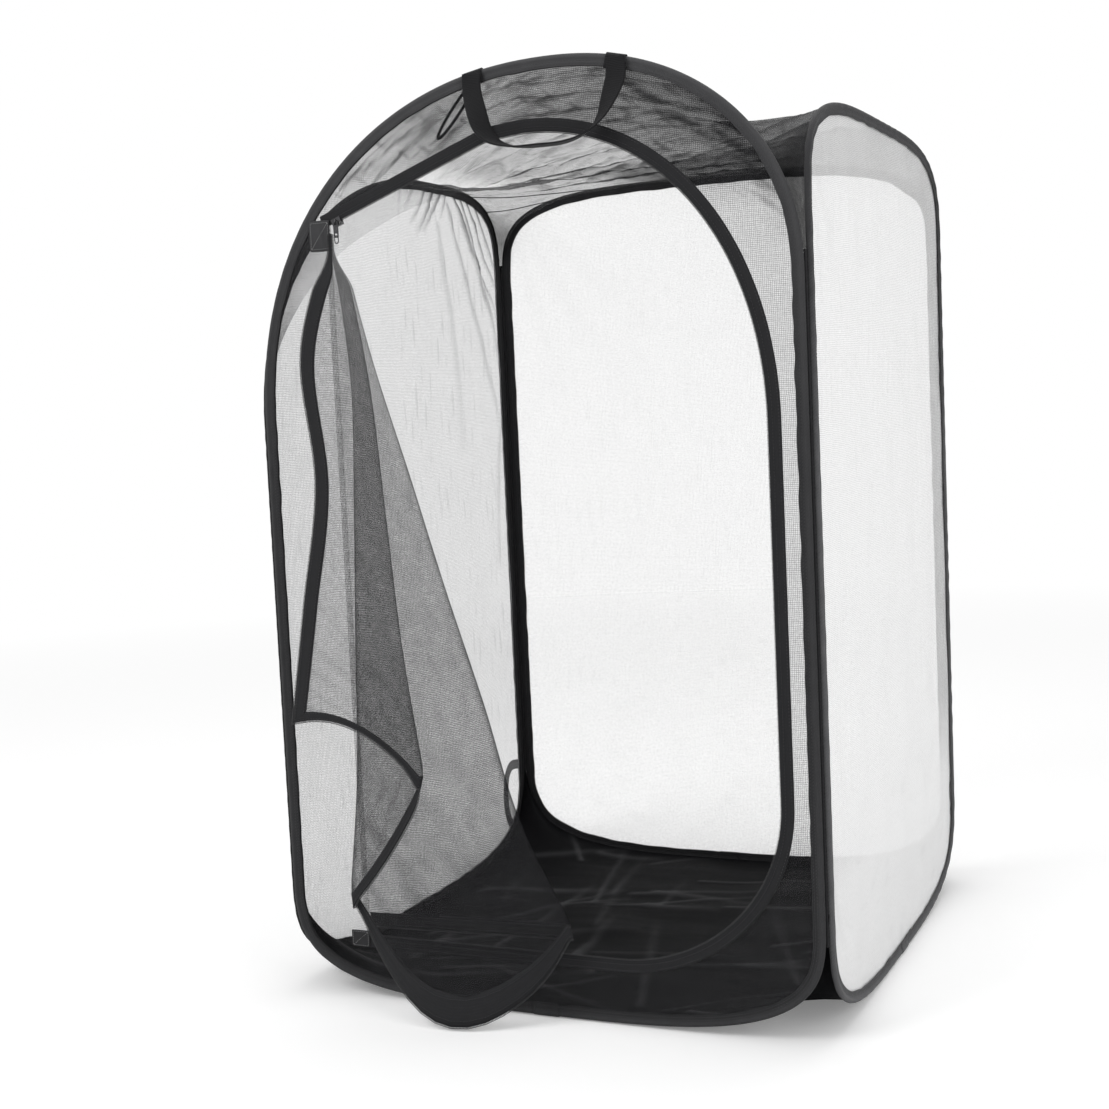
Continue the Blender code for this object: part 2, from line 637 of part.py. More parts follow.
def build_slider(front_pivot):
    """Zip slider on the sloping run of the zipper, its bail, pull tab and ring."""
    line = inset(door_path(), COIL_INSET, closed=False)
    run = (line[-2] - line[-1]).normalized()
    park = line[-1] + run * SLIDER_PARK
    slope = math.atan2(run.y, run.x)
    front = side_matrix("front")
    inner_face = WALL_FACE - MESH_THICKNESS - 2 * CLEARANCE
    outer_face = COIL_LEVEL + COIL_RADIUS + CLEARANCE
    thickness = outer_face - inner_face + 2 * SLIDER_PLATE
    middle = (inner_face + outer_face) / 2
    neck = COIL_RADIUS + 2 * CLEARANCE
    here = front @ Matrix.Translation((park.x, park.y, middle)) @ Matrix.Rotation(slope, 4, "Z")
    slider_pivot = pivot_at("slider_way", here.translation, front_pivot)
    body = place("zip_slider", block("zip_slider", (SLIDER_LENGTH, SLIDER_WIDTH, thickness), (0, 0, 0)),
                 "dark_metal", here, slider_pivot)
    channel = block("slider_channel", (SLIDER_LENGTH * 2, SLIDER_WIDTH, outer_face - inner_face),
                    (0, SLIDER_WIDTH / 2 - neck, 0))
    cutter = bpy.data.objects.new("slider_channel", channel)
    cutter.matrix_world = here
    cut_by(body, cutter)
    softened = body.modifiers.new("edges", "BEVEL")
    softened.width = 0.0003
    softened.segments = 1
    softened.limit_method = "ANGLE"

    face = outer_face + SLIDER_PLATE
    base = face + 2 * CLEARANCE
    bail_at = front @ Matrix.Translation((park.x, park.y, base))
    bail = []
    for k in range(9):
        angle = math.pi * k / 8
        bail.append((0.0, BAIL_RADIUS * math.cos(angle), BAIL_RADIUS * math.sin(angle)))
    tube("slider_bail", bail, BAIL_WIRE, "dark_metal", bail_at, slider_pivot)

    rim = PULL_RIM / 2
    pull_at = front @ Matrix.Translation((park.x, park.y, base + PULL_THICKNESS / 2))
    pull_pivot = pivot_at("pull_axis", pull_at.translation, slider_pivot)
    half = PULL_WIDTH / 2
    low = rim - PULL_LENGTH
    tab = [Vector((-half, rim)), Vector((-half, low)), Vector((half, low)), Vector((half, rim))]
    eye = [Vector((x * (half - PULL_RIM), -rim - y * EYE_HEIGHT)) for x, y in ((-1, 0), (-1, 1), (1, 1), (1, 0))]
    foot_eye = [p + Vector((0, low + PULL_RIM + EYE_HEIGHT + rim)) for p in eye]
    curve = bpy.data.curves.new("zip_pull", "CURVE")
    curve.dimensions = "2D"
    curve.fill_mode = "BOTH"
    curve.extrude = PULL_THICKNESS / 2
    for outline in (tab, eye, foot_eye):
        loop_spline(curve, outline)
    place("zip_pull", curve, "dark_metal", pull_at, pull_pivot)
    drop = RING_RADIUS - low - PULL_RIM - RING_WIRE - CLEARANCE
    ring_at = pull_at @ Matrix.Translation((0, -drop, 0)) @ Matrix.Rotation(math.pi / 2, 4, "Y")
    place("pull_ring", torus_mesh("pull_ring", RING_RADIUS, RING_WIRE, 16, 6), "dark_metal",
          ring_at, pull_pivot)


def outline_at(outline, across):
    """Height and slope of the top of a hoop at a place across it."""
    top = [point for point in outline if point.y > POST_FOOT * 2]
    for near, far in zip(top, top[1:]):
        if far.x <= across <= near.x:
            share = (across - near.x) / (far.x - near.x)
            slope = math.atan2(near.y - far.y, near.x - far.x)
            return near.y + (far.y - near.y) * share, slope
    return top[0].y, 0.0


def wrap_section():
    """Section of a handle end: a hook over the hoop's tape, long leg outside."""
    radius = BULB_RADIUS + CLEARANCE
    outer = radius + WRAP_THICKNESS
    corner = BULB_RADIUS / 2
    short = BULB_RADIUS - MESH_THICKNESS / 2 - CLEARANCE - 0.0002
    return [(radius, -WRAP_LEG), (outer, -WRAP_LEG), (outer, -0.0010), (corner + 0.0005, outer - BULB_RADIUS),
            (-corner - 0.0005, outer - BULB_RADIUS), (-outer + 0.0002, -0.0010), (-outer + 0.0002, -short),
            (-radius, -short), (-radius, -corner), (-corner, CLEARANCE), (corner, CLEARANCE),
            (radius, -corner)]


def build_handle(front_pivot):
    """Webbing handle: two ends sewn over the front hoop and the loop that hangs between them."""
    front = side_matrix("front")
    anchors = []
    for name, across in (("handle_end_left", FRONT_APEX - HANDLE_HALF_SPAN),
                         ("handle_end_right", FRONT_APEX + HANDLE_HALF_SPAN)):
        height, slope = outline_at(front_outline, across)
        anchors.append(Vector((across, height)))
        curve = bpy.data.curves.new(name, "CURVE")
        curve.dimensions = "2D"
        curve.fill_mode = "BOTH"
        curve.extrude = WEB_WIDTH / 2
        loop_spline(curve, wrap_section())
        stand = Matrix.Translation((across, height, HOOP_OFFSET)) @ Matrix.Rotation(slope, 4, "Z")
        turn = Matrix.Rotation(-math.pi / 2, 4, "Y")
        place(name, curve, "black_webbing", front @ stand @ turn, front_pivot)

    left, right = anchors
    out = HOOP_OFFSET + BULB_RADIUS + 2 * CLEARANCE + WRAP_THICKNESS + WEB_THICKNESS / 2
    drop = 0.002
    middle = (left + right) / 2
    axis_at = front @ Vector((middle.x, middle.y - drop, out))
    handle_pivot = pivot_at("handle_axis", axis_at, front_pivot)
    half = HANDLE_HALF_SPAN
    path = [(-half, 0.0, 0.0), (-half, -0.018, 0.0), (-half + 0.006, -0.038, 0.004),
            (-half + 0.014, -0.056, 0.008), (-half + 0.028, -0.070, 0.011), (-half + 0.050, -0.077, 0.012),
            (0.0, -HANDLE_DROP, 0.012)]
    twist = [0.0, 0.0, 22.0, 50.0, 74.0, 86.0, 90.0]
    path = path + [(-x, y, z) for x, y, z in path[-2::-1]]
    twist = twist + twist[-2::-1]
    lean = math.atan2(right.y - left.y, right.x - left.x)
    rows = [[], []]
    for k, (point, angle) in enumerate(zip(path, twist)):
        before, after = Vector(path[max(k - 1, 0)]), Vector(path[min(k + 1, len(path) - 1)])
        run = (after - before).normalized()
        flat = run.cross(Vector((0, 0, 1))).normalized()
        edge = flat * math.cos(math.radians(angle)) + Vector((0, 0, 1)) * math.sin(math.radians(angle))
        rows[0].append(Vector(point) - edge * WEB_WIDTH / 2)
        rows[1].append(Vector(point) + edge * WEB_WIDTH / 2)
    stand = Matrix.Translation((middle.x, middle.y - drop, out)) @ Matrix.Rotation(lean, 4, "Z")
    sheet("carry_handle", rows, WEB_THICKNESS, "black_webbing", front @ stand, handle_pivot)


def build_straps(left_pivot, front_pivot):
    """Elastic storage loop outside the back left foot, and a hanging loop inside the front top."""
    half = STORAGE_BAND / 2
    line = [Vector((from_back - HINGE_Y, up)) for from_back, up in STORAGE_LOOP]
    level = OUTER_FACE + CLEARANCE + STRAP_THICKNESS / 2
    flat_plate("storage_loop", [band(line, half, half)], level, STRAP_THICKNESS, "black_webbing",
               "left", left_pivot)

    half = LOOP_BAND / 2
    lip = outline_at(front_outline, LOOP_TOP)[0] - 2 * BULB_RADIUS - CLEARANCE
    tilt = Vector((math.sin(LOOP_TILT), math.cos(LOOP_TILT)))
    middle = Vector((LOOP_TOP, lip - half)) - tilt * LOOP_REACH
    line = []
    for k in range(20):
        angle = -2 * math.pi * k / 20
        step = tilt * LOOP_REACH * math.cos(angle)
        line.append(middle + step + Vector((tilt.y, -tilt.x)) * LOOP_HALF_WIDTH * math.sin(angle))
    outer, inner = inset(line, -half), inset(line, half)
    level = HOOP_OFFSET - LIP_OUTER - CLEARANCE - STRAP_THICKNESS / 2
    flat_plate("hanging_loop", [outer, inner], level, STRAP_THICKNESS, "black_webbing", "front", front_pivot)


def build_corner_seam(name, corner, top, pivot):
    """Sewn seam on a hinge line, between the tapes of two neighbouring hoops."""
    radius = math.hypot(HOOP_OFFSET, BULB_RADIUS + CLEARANCE) - BULB_RADIUS - CLEARANCE
    ends = [(corner[0], corner[1], POST_FOOT + SLEEVE_WIDTH / 2), (corner[0], corner[1], top - SLEEVE_WIDTH / 2)]
    tube(name, ends, radius, "black_tape", Matrix.Identity(4), pivot, detail=1)


section = guide_profile("hoop_tape_section", sleeve_profile())
overlap_section = guide_profile("tape_overlap_section", overlap_profile())

half_x = HINGE_X - CLEARANCE
half_y = HINGE_Y - CLEARANCE
front_outline = hoop_outline(
    half_x, FRONT_HEIGHT, FRONT_LEFT_TOP, FRONT_RIGHT_TOP, FRONT_APEX, FRONT_POWER, FRONT_POWER)
back_outline = hoop_outline(half_x, SIDE_HEIGHT, POST_TOP, POST_TOP, 0.0, SIDE_POWER, SIDE_POWER)
left_outline = hoop_outline(half_y, SIDE_HEIGHT, POST_TOP, FRONT_LEFT_TOP, LEFT_APEX, SIDE_POWER, LEFT_POWER)
right_outline = hoop_outline(half_y, SIDE_HEIGHT, POST_TOP, POST_TOP, 0.0, SIDE_POWER, SIDE_POWER)

cage = pivot_at("cage", (0, 0, 0))
left_hinge = pivot_at("back_left_hinge", (-HINGE_X, HINGE_Y, 0), cage)
right_hinge = pivot_at("back_right_hinge", (HINGE_X, HINGE_Y, 0), cage)
front_hinge = pivot_at("front_left_hinge", (-HINGE_X, -HINGE_Y, 0), left_hinge)
door_hinge = pivot_at("door_hinge", (DOOR_LEFT, -HINGE_Y - SEAM_OUT, 0), front_hinge)

build_hoop("back", back_outline, "black_tape", cage)
build_wall("back", back_outline, cage)
build_hoop("left", left_outline, "black_tape", left_hinge)
build_wall("left", left_outline, left_hinge)
build_hoop("right", right_outline, "grey_tape", right_hinge)
build_wall("right", right_outline, right_hinge)
build_hoop("front", front_outline, "grey_tape", front_hinge)
build_door_edge(front_hinge)
build_flap(door_hinge)
build_slider(front_hinge)
build_handle(front_hinge)
build_straps(left_hinge, front_hinge)

build_corner_seam("seam_back_left", (-HINGE_X, HINGE_Y), POST_TOP, cage)
build_corner_seam("seam_back_right", (HINGE_X, HINGE_Y), POST_TOP, cage)
build_corner_seam("seam_front_left", (-HINGE_X, -HINGE_Y), FRONT_LEFT_TOP, left_hinge)
build_corner_seam("seam_front_right", (HINGE_X, -HINGE_Y), FRONT_RIGHT_TOP, right_hinge)

roof = stretched_net(
    hoop_edge("front", front_outline, FRONT_RIGHT_TOP, FRONT_LEFT_TOP, True),
    hoop_edge("right", right_outline, POST_TOP, FRONT_RIGHT_TOP, True),
    hoop_edge("back", back_outline, POST_TOP, POST_TOP, True),
    hoop_edge("left", left_outline, FRONT_LEFT_TOP, POST_TOP, True),
    -1.0, 0.0)
sheet("roof_mesh", roof, MESH_THICKNESS, "black_mesh", Matrix.Identity(4), cage)

floor = stretched_net(
    hoop_edge("front", front_outline, POST_FOOT, POST_FOOT, False),
    hoop_edge("right", right_outline, POST_FOOT, POST_FOOT, False),
    hoop_edge("back", back_outline, POST_FOOT, POST_FOOT, False),
    hoop_edge("left", left_outline, POST_FOOT, POST_FOOT, False),
    FLOOR_THICKNESS / 2, FLOOR_SAG)
sheet("floor_cloth", floor, FLOOR_THICKNESS, "black_cloth", Matrix.Identity(4), cage)
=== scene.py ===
import math

import bmesh
import bpy
import numpy as np
from mathutils import Matrix, Vector


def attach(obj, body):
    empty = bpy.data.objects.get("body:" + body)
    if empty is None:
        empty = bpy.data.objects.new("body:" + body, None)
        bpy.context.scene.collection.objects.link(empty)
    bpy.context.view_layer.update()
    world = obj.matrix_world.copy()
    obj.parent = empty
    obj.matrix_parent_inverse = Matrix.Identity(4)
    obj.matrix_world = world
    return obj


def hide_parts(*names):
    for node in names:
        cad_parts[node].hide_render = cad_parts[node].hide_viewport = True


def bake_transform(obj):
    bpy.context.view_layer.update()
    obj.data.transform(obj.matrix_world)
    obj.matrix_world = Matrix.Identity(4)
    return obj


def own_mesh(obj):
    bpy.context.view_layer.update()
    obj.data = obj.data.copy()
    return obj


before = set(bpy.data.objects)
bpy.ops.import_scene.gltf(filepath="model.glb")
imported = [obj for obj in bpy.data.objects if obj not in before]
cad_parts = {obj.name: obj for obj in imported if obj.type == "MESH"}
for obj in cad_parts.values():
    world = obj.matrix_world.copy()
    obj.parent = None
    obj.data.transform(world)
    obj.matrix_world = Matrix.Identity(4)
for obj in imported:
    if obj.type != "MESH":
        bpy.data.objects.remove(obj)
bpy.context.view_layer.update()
bpy.ops.object.select_all(action="DESELECT")
view = bpy.context.scene
view.view_settings.view_transform = "Standard"
view.cycles.transparent_max_bounces = 48


# Camera: stands a little right of the front, at the height of the cage's middle, and is tipped by
# the few degrees that the picture leans.
EYE = Vector((0.734, -1.8627, 0.6331))
YAW, PITCH, ROLL = 0.4225, 0.0904, -0.0462
FOCAL_PIXELS, PICTURE = 1717.4, 1109
SENSOR = 36.0

ahead = Vector((-math.sin(YAW) * math.cos(PITCH), math.cos(YAW) * math.cos(PITCH), -math.sin(PITCH)))
level_right = Vector((math.cos(YAW), math.sin(YAW), 0))
level_up = level_right.cross(ahead)
camera_right = level_right * math.cos(ROLL) + level_up * math.sin(ROLL)
camera_up = level_up * math.cos(ROLL) - level_right * math.sin(ROLL)
turned = Matrix((camera_right, camera_up, -ahead)).transposed().to_4x4()
bpy.ops.object.camera_add()
camera = bpy.context.object
camera.matrix_world = Matrix.Translation(EYE) @ turned
camera.data.sensor_width = SENSOR
camera.data.lens = FOCAL_PIXELS / PICTURE * SENSOR
view.camera = camera


class Shade:
    """A value that changes over a surface. Sums written on it add their own nodes."""

    def __init__(self, finish, socket):
        self.finish = finish
        self.socket = socket

    def math(self, operation, *others):
        return self.finish.node("ShaderNodeMath", {"operation": operation}, dict(enumerate((self, *others))))

    def __add__(self, other):
        return self.math("ADD", other)

    def __sub__(self, other):
        return self.math("SUBTRACT", other)

    def __rsub__(self, other):
        return (self * -1) + other

    def __mul__(self, other):
        return self.math("MULTIPLY", other)

    def __pow__(self, other):
        return self.math("POWER", other)

    __radd__ = __add__
    __rmul__ = __mul__


class Finish:
    """One material, made node by node from the names of Blender's own nodes."""

    def __init__(self, name, **settings):
        self.material = bpy.data.materials.new(name)
        self.material.use_nodes = True
        self.tree = self.material.node_tree
        self.shader = self.tree.nodes["Principled BSDF"]
        for socket, value in settings.items():
            self.paint(socket.replace("_", " "), value)

    def node(self, kind, settings=None, values=None, output=0):
        made = self.tree.nodes.new(kind)
        for key, value in (settings or {}).items():
            setattr(made, key, value)
        for key, value in (values or {}).items():
            self.feed(made.inputs[key], value)
        return Shade(self, made.outputs[output])

    def feed(self, socket, value):
        if isinstance(value, Shade):
            self.tree.links.new(value.socket, socket)
        else:
            socket.default_value = value

    def paint(self, socket, value):
        self.feed(self.shader.inputs[socket], value)

    def solid_place(self):
        """Places in space, in metres, for a piece that has no measure of its cloth."""
        return self.node("ShaderNodeTexCoord", None, None, 3)

    def stored(self, name):
        """A value that the mesh stores at its points."""
        return self.node("ShaderNodeAttribute", {"attribute_name": name}, None, 2)

    def cloth_place(self):
        """Across and along the cloth, in metres, from the piece's own UV map."""
        place = self.node("ShaderNodeUVMap")
        return place, *[self.node("ShaderNodeSeparateXYZ", None, {0: place}, k) for k in (0, 1)]

    def stretched(self, place, stretch):
        return self.node("ShaderNodeMapping", None, {"Vector": place, "Scale": stretch})

    def cloud(self, place, scale, detail=3.0):
        return self.node("ShaderNodeTexNoise", None, {"Vector": place, "Scale": scale, "Detail": detail})

    def mixed(self, share, first, second):
        values = {0: share, 6: (*first, 1) if isinstance(first, tuple) else first,
                  7: (*second, 1) if isinstance(second, tuple) else second}
        return self.node("ShaderNodeMix", {"data_type": "RGBA"}, values, 2)

    def raised(self, height, depth):
        """Relief of the given depth, in metres, from a height of 0 to 1."""
        self.paint("Normal", self.node("ShaderNodeBump", None, {"Distance": depth, "Height": height}))


def threads(place, pitch, sharpness=8):
    """Ridges of 1 on each thread and 0 between them."""
    return (place * (2 * math.pi / pitch)).math("COSINE").math("MULTIPLY_ADD", 0.5, 0.5) ** sharpness


# Studio: a plain white floor that keeps the cage's shadow, a white surround and three soft lamps.
FLOOR_GREY = 0.90
FLOOR_RADIUS, FLOOR_BELOW = 30, 0.0012
FADE_FROM, FADE_TO = 0.9, 3.5
NEAR_LIFT = 0.18
SURROUND_LIGHT = 0.62

bpy.ops.mesh.primitive_circle_add(vertices=96, radius=FLOOR_RADIUS, fill_type="NGON", location=(0, 0, 0))
ground = bpy.context.object
ground.name = "studio_floor"
ground.data.transform(Matrix.Translation((0, 0, -FLOOR_BELOW)))
stone = Finish("pale_floor", Base_Color=(*(FLOOR_GREY,) * 3, 1), Roughness=0.9, Specular_IOR_Level=0.1,
               Emission_Strength=1.0)
seen = stone.node("ShaderNodeLightPath")
stone.paint("Emission Color", stone.mixed(seen, (0, 0, 0), (NEAR_LIFT,) * 3))
distance = stone.node("ShaderNodeVectorMath", {"operation": "LENGTH"}, {0: stone.solid_place()}, 1)
far = stone.node("ShaderNodeMapRange", None, {0: distance, 1: FADE_FROM, 2: FADE_TO, 3: 0.0, 4: 1.0})
white = stone.node("ShaderNodeEmission", None, {"Strength": 1.0})
faded_out = stone.node("ShaderNodeMixShader", None, {0: far * seen, 1: Shade(stone, stone.shader.outputs[0]), 2: white})
stone.feed(stone.tree.nodes["Material Output"].inputs["Surface"], faded_out)
ground.data.materials.append(stone.material)

world = bpy.data.worlds.new("white_surround")
view.world = world
world.use_nodes = True
sky = world.node_tree
path = sky.nodes.new("ShaderNodeLightPath")
either = sky.nodes.new("ShaderNodeMath")
either.operation = "MAXIMUM"
sky.links.new(path.outputs["Is Camera Ray"], either.inputs[0])
sky.links.new(path.outputs["Is Glossy Ray"], either.inputs[1])
strength = sky.nodes.new("ShaderNodeMapRange")
strength.inputs["To Min"].default_value = SURROUND_LIGHT
strength.inputs["To Max"].default_value = 1.0
sky.links.new(either.outputs[0], strength.inputs["Value"])
sky.nodes["Background"].inputs["Color"].default_value = (1, 1, 1, 1)
sky.links.new(strength.outputs["Result"], sky.nodes["Background"].inputs["Strength"])

for lamp, watts, size, where, target in (
        ("key_lamp", 42, 1.6, (-1.5, -2.3, 2.7), (0, 0, 0.5)),
        ("fill_lamp", 20, 2.0, (2.6, -1.2, 1.4), (0, 0, 0.5)),
        ("top_lamp", 22, 1.8, (0.2, 0.6, 3.2), (0, 0, 0.4))):
    bpy.ops.object.light_add(type="AREA", location=where)
    light = bpy.context.object
    light.name = lamp
    light.data.energy = watts
    light.data.size = size
    light.rotation_euler = (Vector(target) - Vector(where)).to_track_quat("-Z", "Y").to_euler()


# Hoop tapes: one binding tape round each wall, folded over the sprung wire and stitched to the net along
# both sides. Woven polyester, black on the back and left walls, grey on the right and front ones.
HINGE = 0.2988
HOOP_OUT = 0.0032
BULB = 0.0030
HALF_WIDTH = 0.2985
SIDE_HEIGHT, SIDE_POST = 0.914, 0.785
FRONT_HEIGHT, FRONT_LEFT_POST, FRONT_RIGHT_POST = 0.965, 0.620, 0.740
FRONT_APEX, LEFT_APEX = 0.04514, -0.07991
FOOT_POST = 0.130
SIDE_POWER, FRONT_POWER, FOOT_POWER = 3.8, 2.15, 3.4
# Each arch: height, left and right post tops, apex, and the powers of its left and right shoulders.
ARCHES = {"front": (FRONT_HEIGHT, FRONT_LEFT_POST, FRONT_RIGHT_POST, FRONT_APEX, FRONT_POWER, FRONT_POWER),
          "back": (SIDE_HEIGHT, SIDE_POST, SIDE_POST, 0.0, SIDE_POWER, SIDE_POWER),
          "left": (SIDE_HEIGHT, SIDE_POST, FRONT_LEFT_POST, LEFT_APEX, SIDE_POWER, 2.0),
          "right": (SIDE_HEIGHT, SIDE_POST, SIDE_POST, 0.0, SIDE_POWER, SIDE_POWER)}
TAPE_CLOTH = 0.0007
TAPE_STEP = 0.004
WALLS = {"front": ((1, 0), (0, -1)), "back": ((-1, 0), (0, 1)),
         "left": ((0, -1), (-1, 0)), "right": ((0, 1), (1, 0))}


def on_wall(side, x, z, out):
    """Places on a wall: x to the right as seen from outside, z up, out from the hinges."""
    across, outward = WALLS[side]
    x, z, out = np.broadcast_arrays(x, z, out)
    return np.stack([across[k] * x + outward[k] * (HINGE + out) for k in (0, 1)] + [z], -1)


def quarter(centre, reach, power, start, steps=48):
    """A quarter of a rounded corner, from angle start to start + 90 degrees."""
    angle = np.radians(start + np.linspace(0, 90, steps + 1))
    run, rise = np.cos(angle), np.sin(angle)
    return np.stack([centre[0] + reach[0] * np.sign(run) * np.abs(run) ** (2 / power),
                     centre[1] + reach[1] * np.sign(rise) * np.abs(rise) ** (2 / power)], 1)


def lengths_along(points):
    """The length of a line up to each of its points."""
    return np.concatenate(([0.0], np.cumsum(np.linalg.norm(np.diff(points, axis=0), axis=1))))


def spaced(points, count, closed=False):
    """Points spread evenly along a line, and its length."""
    points = np.asarray(points, float)
    if closed:
        points = np.vstack([points, points[:1]])
    travelled = lengths_along(points)
    wanted = np.linspace(0, travelled[-1], count + 1 if closed else count)
    line = np.stack([np.interp(wanted, travelled, points[:, k]) for k in range(points.shape[1])], 1)
    return (line[:-1] if closed else line), travelled[-1]


def unit(vectors):
    """Vectors brought to a length of 1."""
    return vectors / np.maximum(np.linalg.norm(vectors, axis=-1), 1e-9)[..., None]


def fade(value, start, run):
    """0 up to a start, then rising to 1 over a run."""
    return np.clip((value - start) / run, 0, 1)


def inwards(points, closed=True):
    """Unit steps into an anticlockwise outline, square to it."""
    before, after = np.roll(points, 1, 0), np.roll(points, -1, 0)
    if not closed:
        before[0], after[-1] = points[0], points[-1]
    run = unit(after - before)
    return np.stack([-run[:, 1], run[:, 0]], 1)


def hoop_outline(side):
    """Outer edge of a wall's hoop, anticlockwise from the middle of the foot."""
    height, left, right, apex, left_power, right_power = ARCHES[side]
    foot = (HALF_WIDTH, FOOT_POST)
    return np.vstack([
        quarter((0, FOOT_POST), foot, FOOT_POWER, 270),
        quarter((apex, right), (HALF_WIDTH - apex, height - right), right_power, 0),
        quarter((apex, left), (HALF_WIDTH + apex, height - left), left_power, 90)[1:],
        quarter((0, FOOT_POST), foot, FOOT_POWER, 180)[:-1]])


def ripples(x, y, wave, bearing, spread, seed, count=6):
    """Soft wrinkles of about one length that run square to a bearing, none of them quite straight."""
    rng = np.random.default_rng(seed)
    total = 0
    for _ in range(count):
        turn = bearing + rng.normal(0, spread)
        length = wave * rng.uniform(0.6, 1.6)
        shift = rng.uniform(0, 2 * math.pi, 3)
        warp = np.sin(x / (4.1 * wave) + shift[0]) + np.sin(y / (3.3 * wave) + shift[1])
        total = total + np.sin(2 * math.pi * (x * math.cos(turn) + y * math.sin(turn)) / length
                               + 1.4 * warp + shift[2])
    return total / math.sqrt(count)


def wobble(along, wave, seed):
    """Ripples along a line."""
    return ripples(along, 0 * along, wave, 0, 0.1, seed)


def surface(name, points, uv, along=False, around=False, gather_and_shading=None, dense=None):
    """A smooth mesh through a grid of points. uv gives the cloth's own place of each, in metres.
    The bunching value is how far the cloth is bunched at each point, which the finishes also paint as shade in its
    folds and as highlight on the floor's creases; dense is how much more of it lies there."""
    rows, columns = points.shape[:2]
    r = np.arange(rows if along else rows - 1)[:, None]
    c = np.arange(columns if around else columns - 1)[None, :]
    r2, c2 = (r + 1) % rows, (c + 1) % columns
    faces = np.stack([r * columns + c, r * columns + c2, r2 * columns + c2, r2 * columns + c], -1)
    mesh = bpy.data.meshes.new(name)
    mesh.from_pydata(points.reshape(-1, 3).tolist(), [], faces.reshape(-1, 4).tolist())
    corners = np.stack([uv[r, c], uv[r, c + 1], uv[r + 1, c + 1], uv[r + 1, c]], 2)
    mesh.uv_layers.new(name="cloth").data.foreach_set("uv", corners.reshape(-1).astype(np.float32))
    for kind, amount in (("gather_and_shading", gather_and_shading), ("dense", dense)):
        if amount is not None:
            values = np.broadcast_to(amount, points.shape[:2]).reshape(-1).astype(np.float32)
            mesh.attributes.new(kind, "FLOAT", "POINT").data.foreach_set("value", values)
    mesh.shade_smooth()
    piece = bpy.data.objects.new(name, mesh)
    view.collection.objects.link(piece)
    return piece


def grid_uv(across, along):
    """UV pairs for a grid from its measure across, for columns, and along, for rows."""
    return np.stack(np.broadcast_arrays(np.asarray(across)[None, :], np.asarray(along)[:, None]), -1)


def finish_by(piece, kind, **settings):
    """Add a modifier and apply it."""
    bpy.ops.object.select_all(action="DESELECT")
    bpy.context.view_layer.objects.active = piece
    piece.select_set(True)
    made = piece.modifiers.new(kind.lower(), kind)
    for key, value in settings.items():
        setattr(made, key, value)
    bpy.ops.object.modifier_apply(modifier=made.name)
    return piece


def thicken(piece, thickness):
    return finish_by(piece, "SOLIDIFY", thickness=thickness, offset=0.0)


def dress(piece, finish, body=None):
    """Give a piece its material, and the body that carries it."""
    piece.data.materials.clear()
    piece.data.materials.append(finish.material)
    if body:
        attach(piece, body)
    return piece


def tape_finish(name, dark, light, roughness, painted_top_light=0.45):
    """Closely woven binding tape: a twill, fuzz that catches the light, and a painted highlight along the middle of
    each face that darkens to its edges. The last argument is painted light from above: how much paler the tape is
    painted at the top of the cage, or darker there when it is below 0."""
    made = Finish(name, Roughness=roughness, Sheen_Weight=0.06, Sheen_Roughness=0.5, Specular_IOR_Level=0.22)
    place, across, along = made.cloth_place()
    twill = threads(across + along, 0.0009, 2) * 0.6 + threads(across - along, 0.0031, 2) * 0.4
    worn = made.cloud(place, 60.0) * 0.6 + made.cloud(place, 420.0, 2.0) * 0.4
    # Painted highlight: each face of the tape is painted lighter along its middle and darker towards its edges.
    face = 1 - ((across * 61.5 - 1).math("ABSOLUTE") - 0.42).math("ABSOLUTE") * 2.4
    # Painted light: the tape is painted paler with height, as if the lamps above fell on the top of the cage.
    height = made.node("ShaderNodeSeparateXYZ", None, {0: made.solid_place()}, 2)
    painted_top_tone = made.node("ShaderNodeMapRange", None, {0: height, 1: 0.55, 2: 0.93, 3: 0.0, 4: painted_top_light})
    tone = worn * 0.45 + twill * 0.2 + face.math("MAXIMUM", 0.0) * 0.22 + painted_top_tone - 0.12
    made.paint("Base Color", made.mixed(tone, dark, light))
    made.paint("Roughness", worn * 0.25 + (roughness - 0.12))
    made.raised(twill, 0.00018)
    return made


# The grey tape's -0.45 makes it darker towards the top of the cage instead of paler.
black_tape = tape_finish("black_binding_tape", (0.005, 0.005, 0.006), (0.022, 0.022, 0.024), 0.72)
front_tape = tape_finish("front_binding_tape", (0.009, 0.009, 0.010), (0.066, 0.066, 0.069), 0.66)
grey_tape = tape_finish("grey_binding_tape", (0.028, 0.028, 0.030), (0.190, 0.190, 0.196), 0.70, -0.45)
thread = Finish("sewing_thread", Base_Color=(0.030, 0.030, 0.032, 1), Roughness=0.55)
thread_place = thread.solid_place()
thread.paint("Roughness", thread.cloud(thread_place, 900.0) * 0.4 + 0.35)
thread.raised(thread.cloud(thread_place, 2600.0), 0.0001)

# Section of the tape: (inwards from the wire, out of the wall), from one lip round the wire to the other.
LIP = [(0.0090, 0.00105), (0.0083, 0.00135), (0.0076, 0.00112), (0.0066, 0.00138), (0.0056, 0.00140),
       (0.0046, 0.00118), (0.0037, 0.00135)]
ROUND = [(0.00265 * math.cos(a), 0.00265 * math.sin(a)) for a in np.radians(np.linspace(40, 320, 15))]
SECTION = np.array(LIP + ROUND + [(a, -h) for a, h in LIP[::-1]])
SECTION_RUN = lengths_along(SECTION)


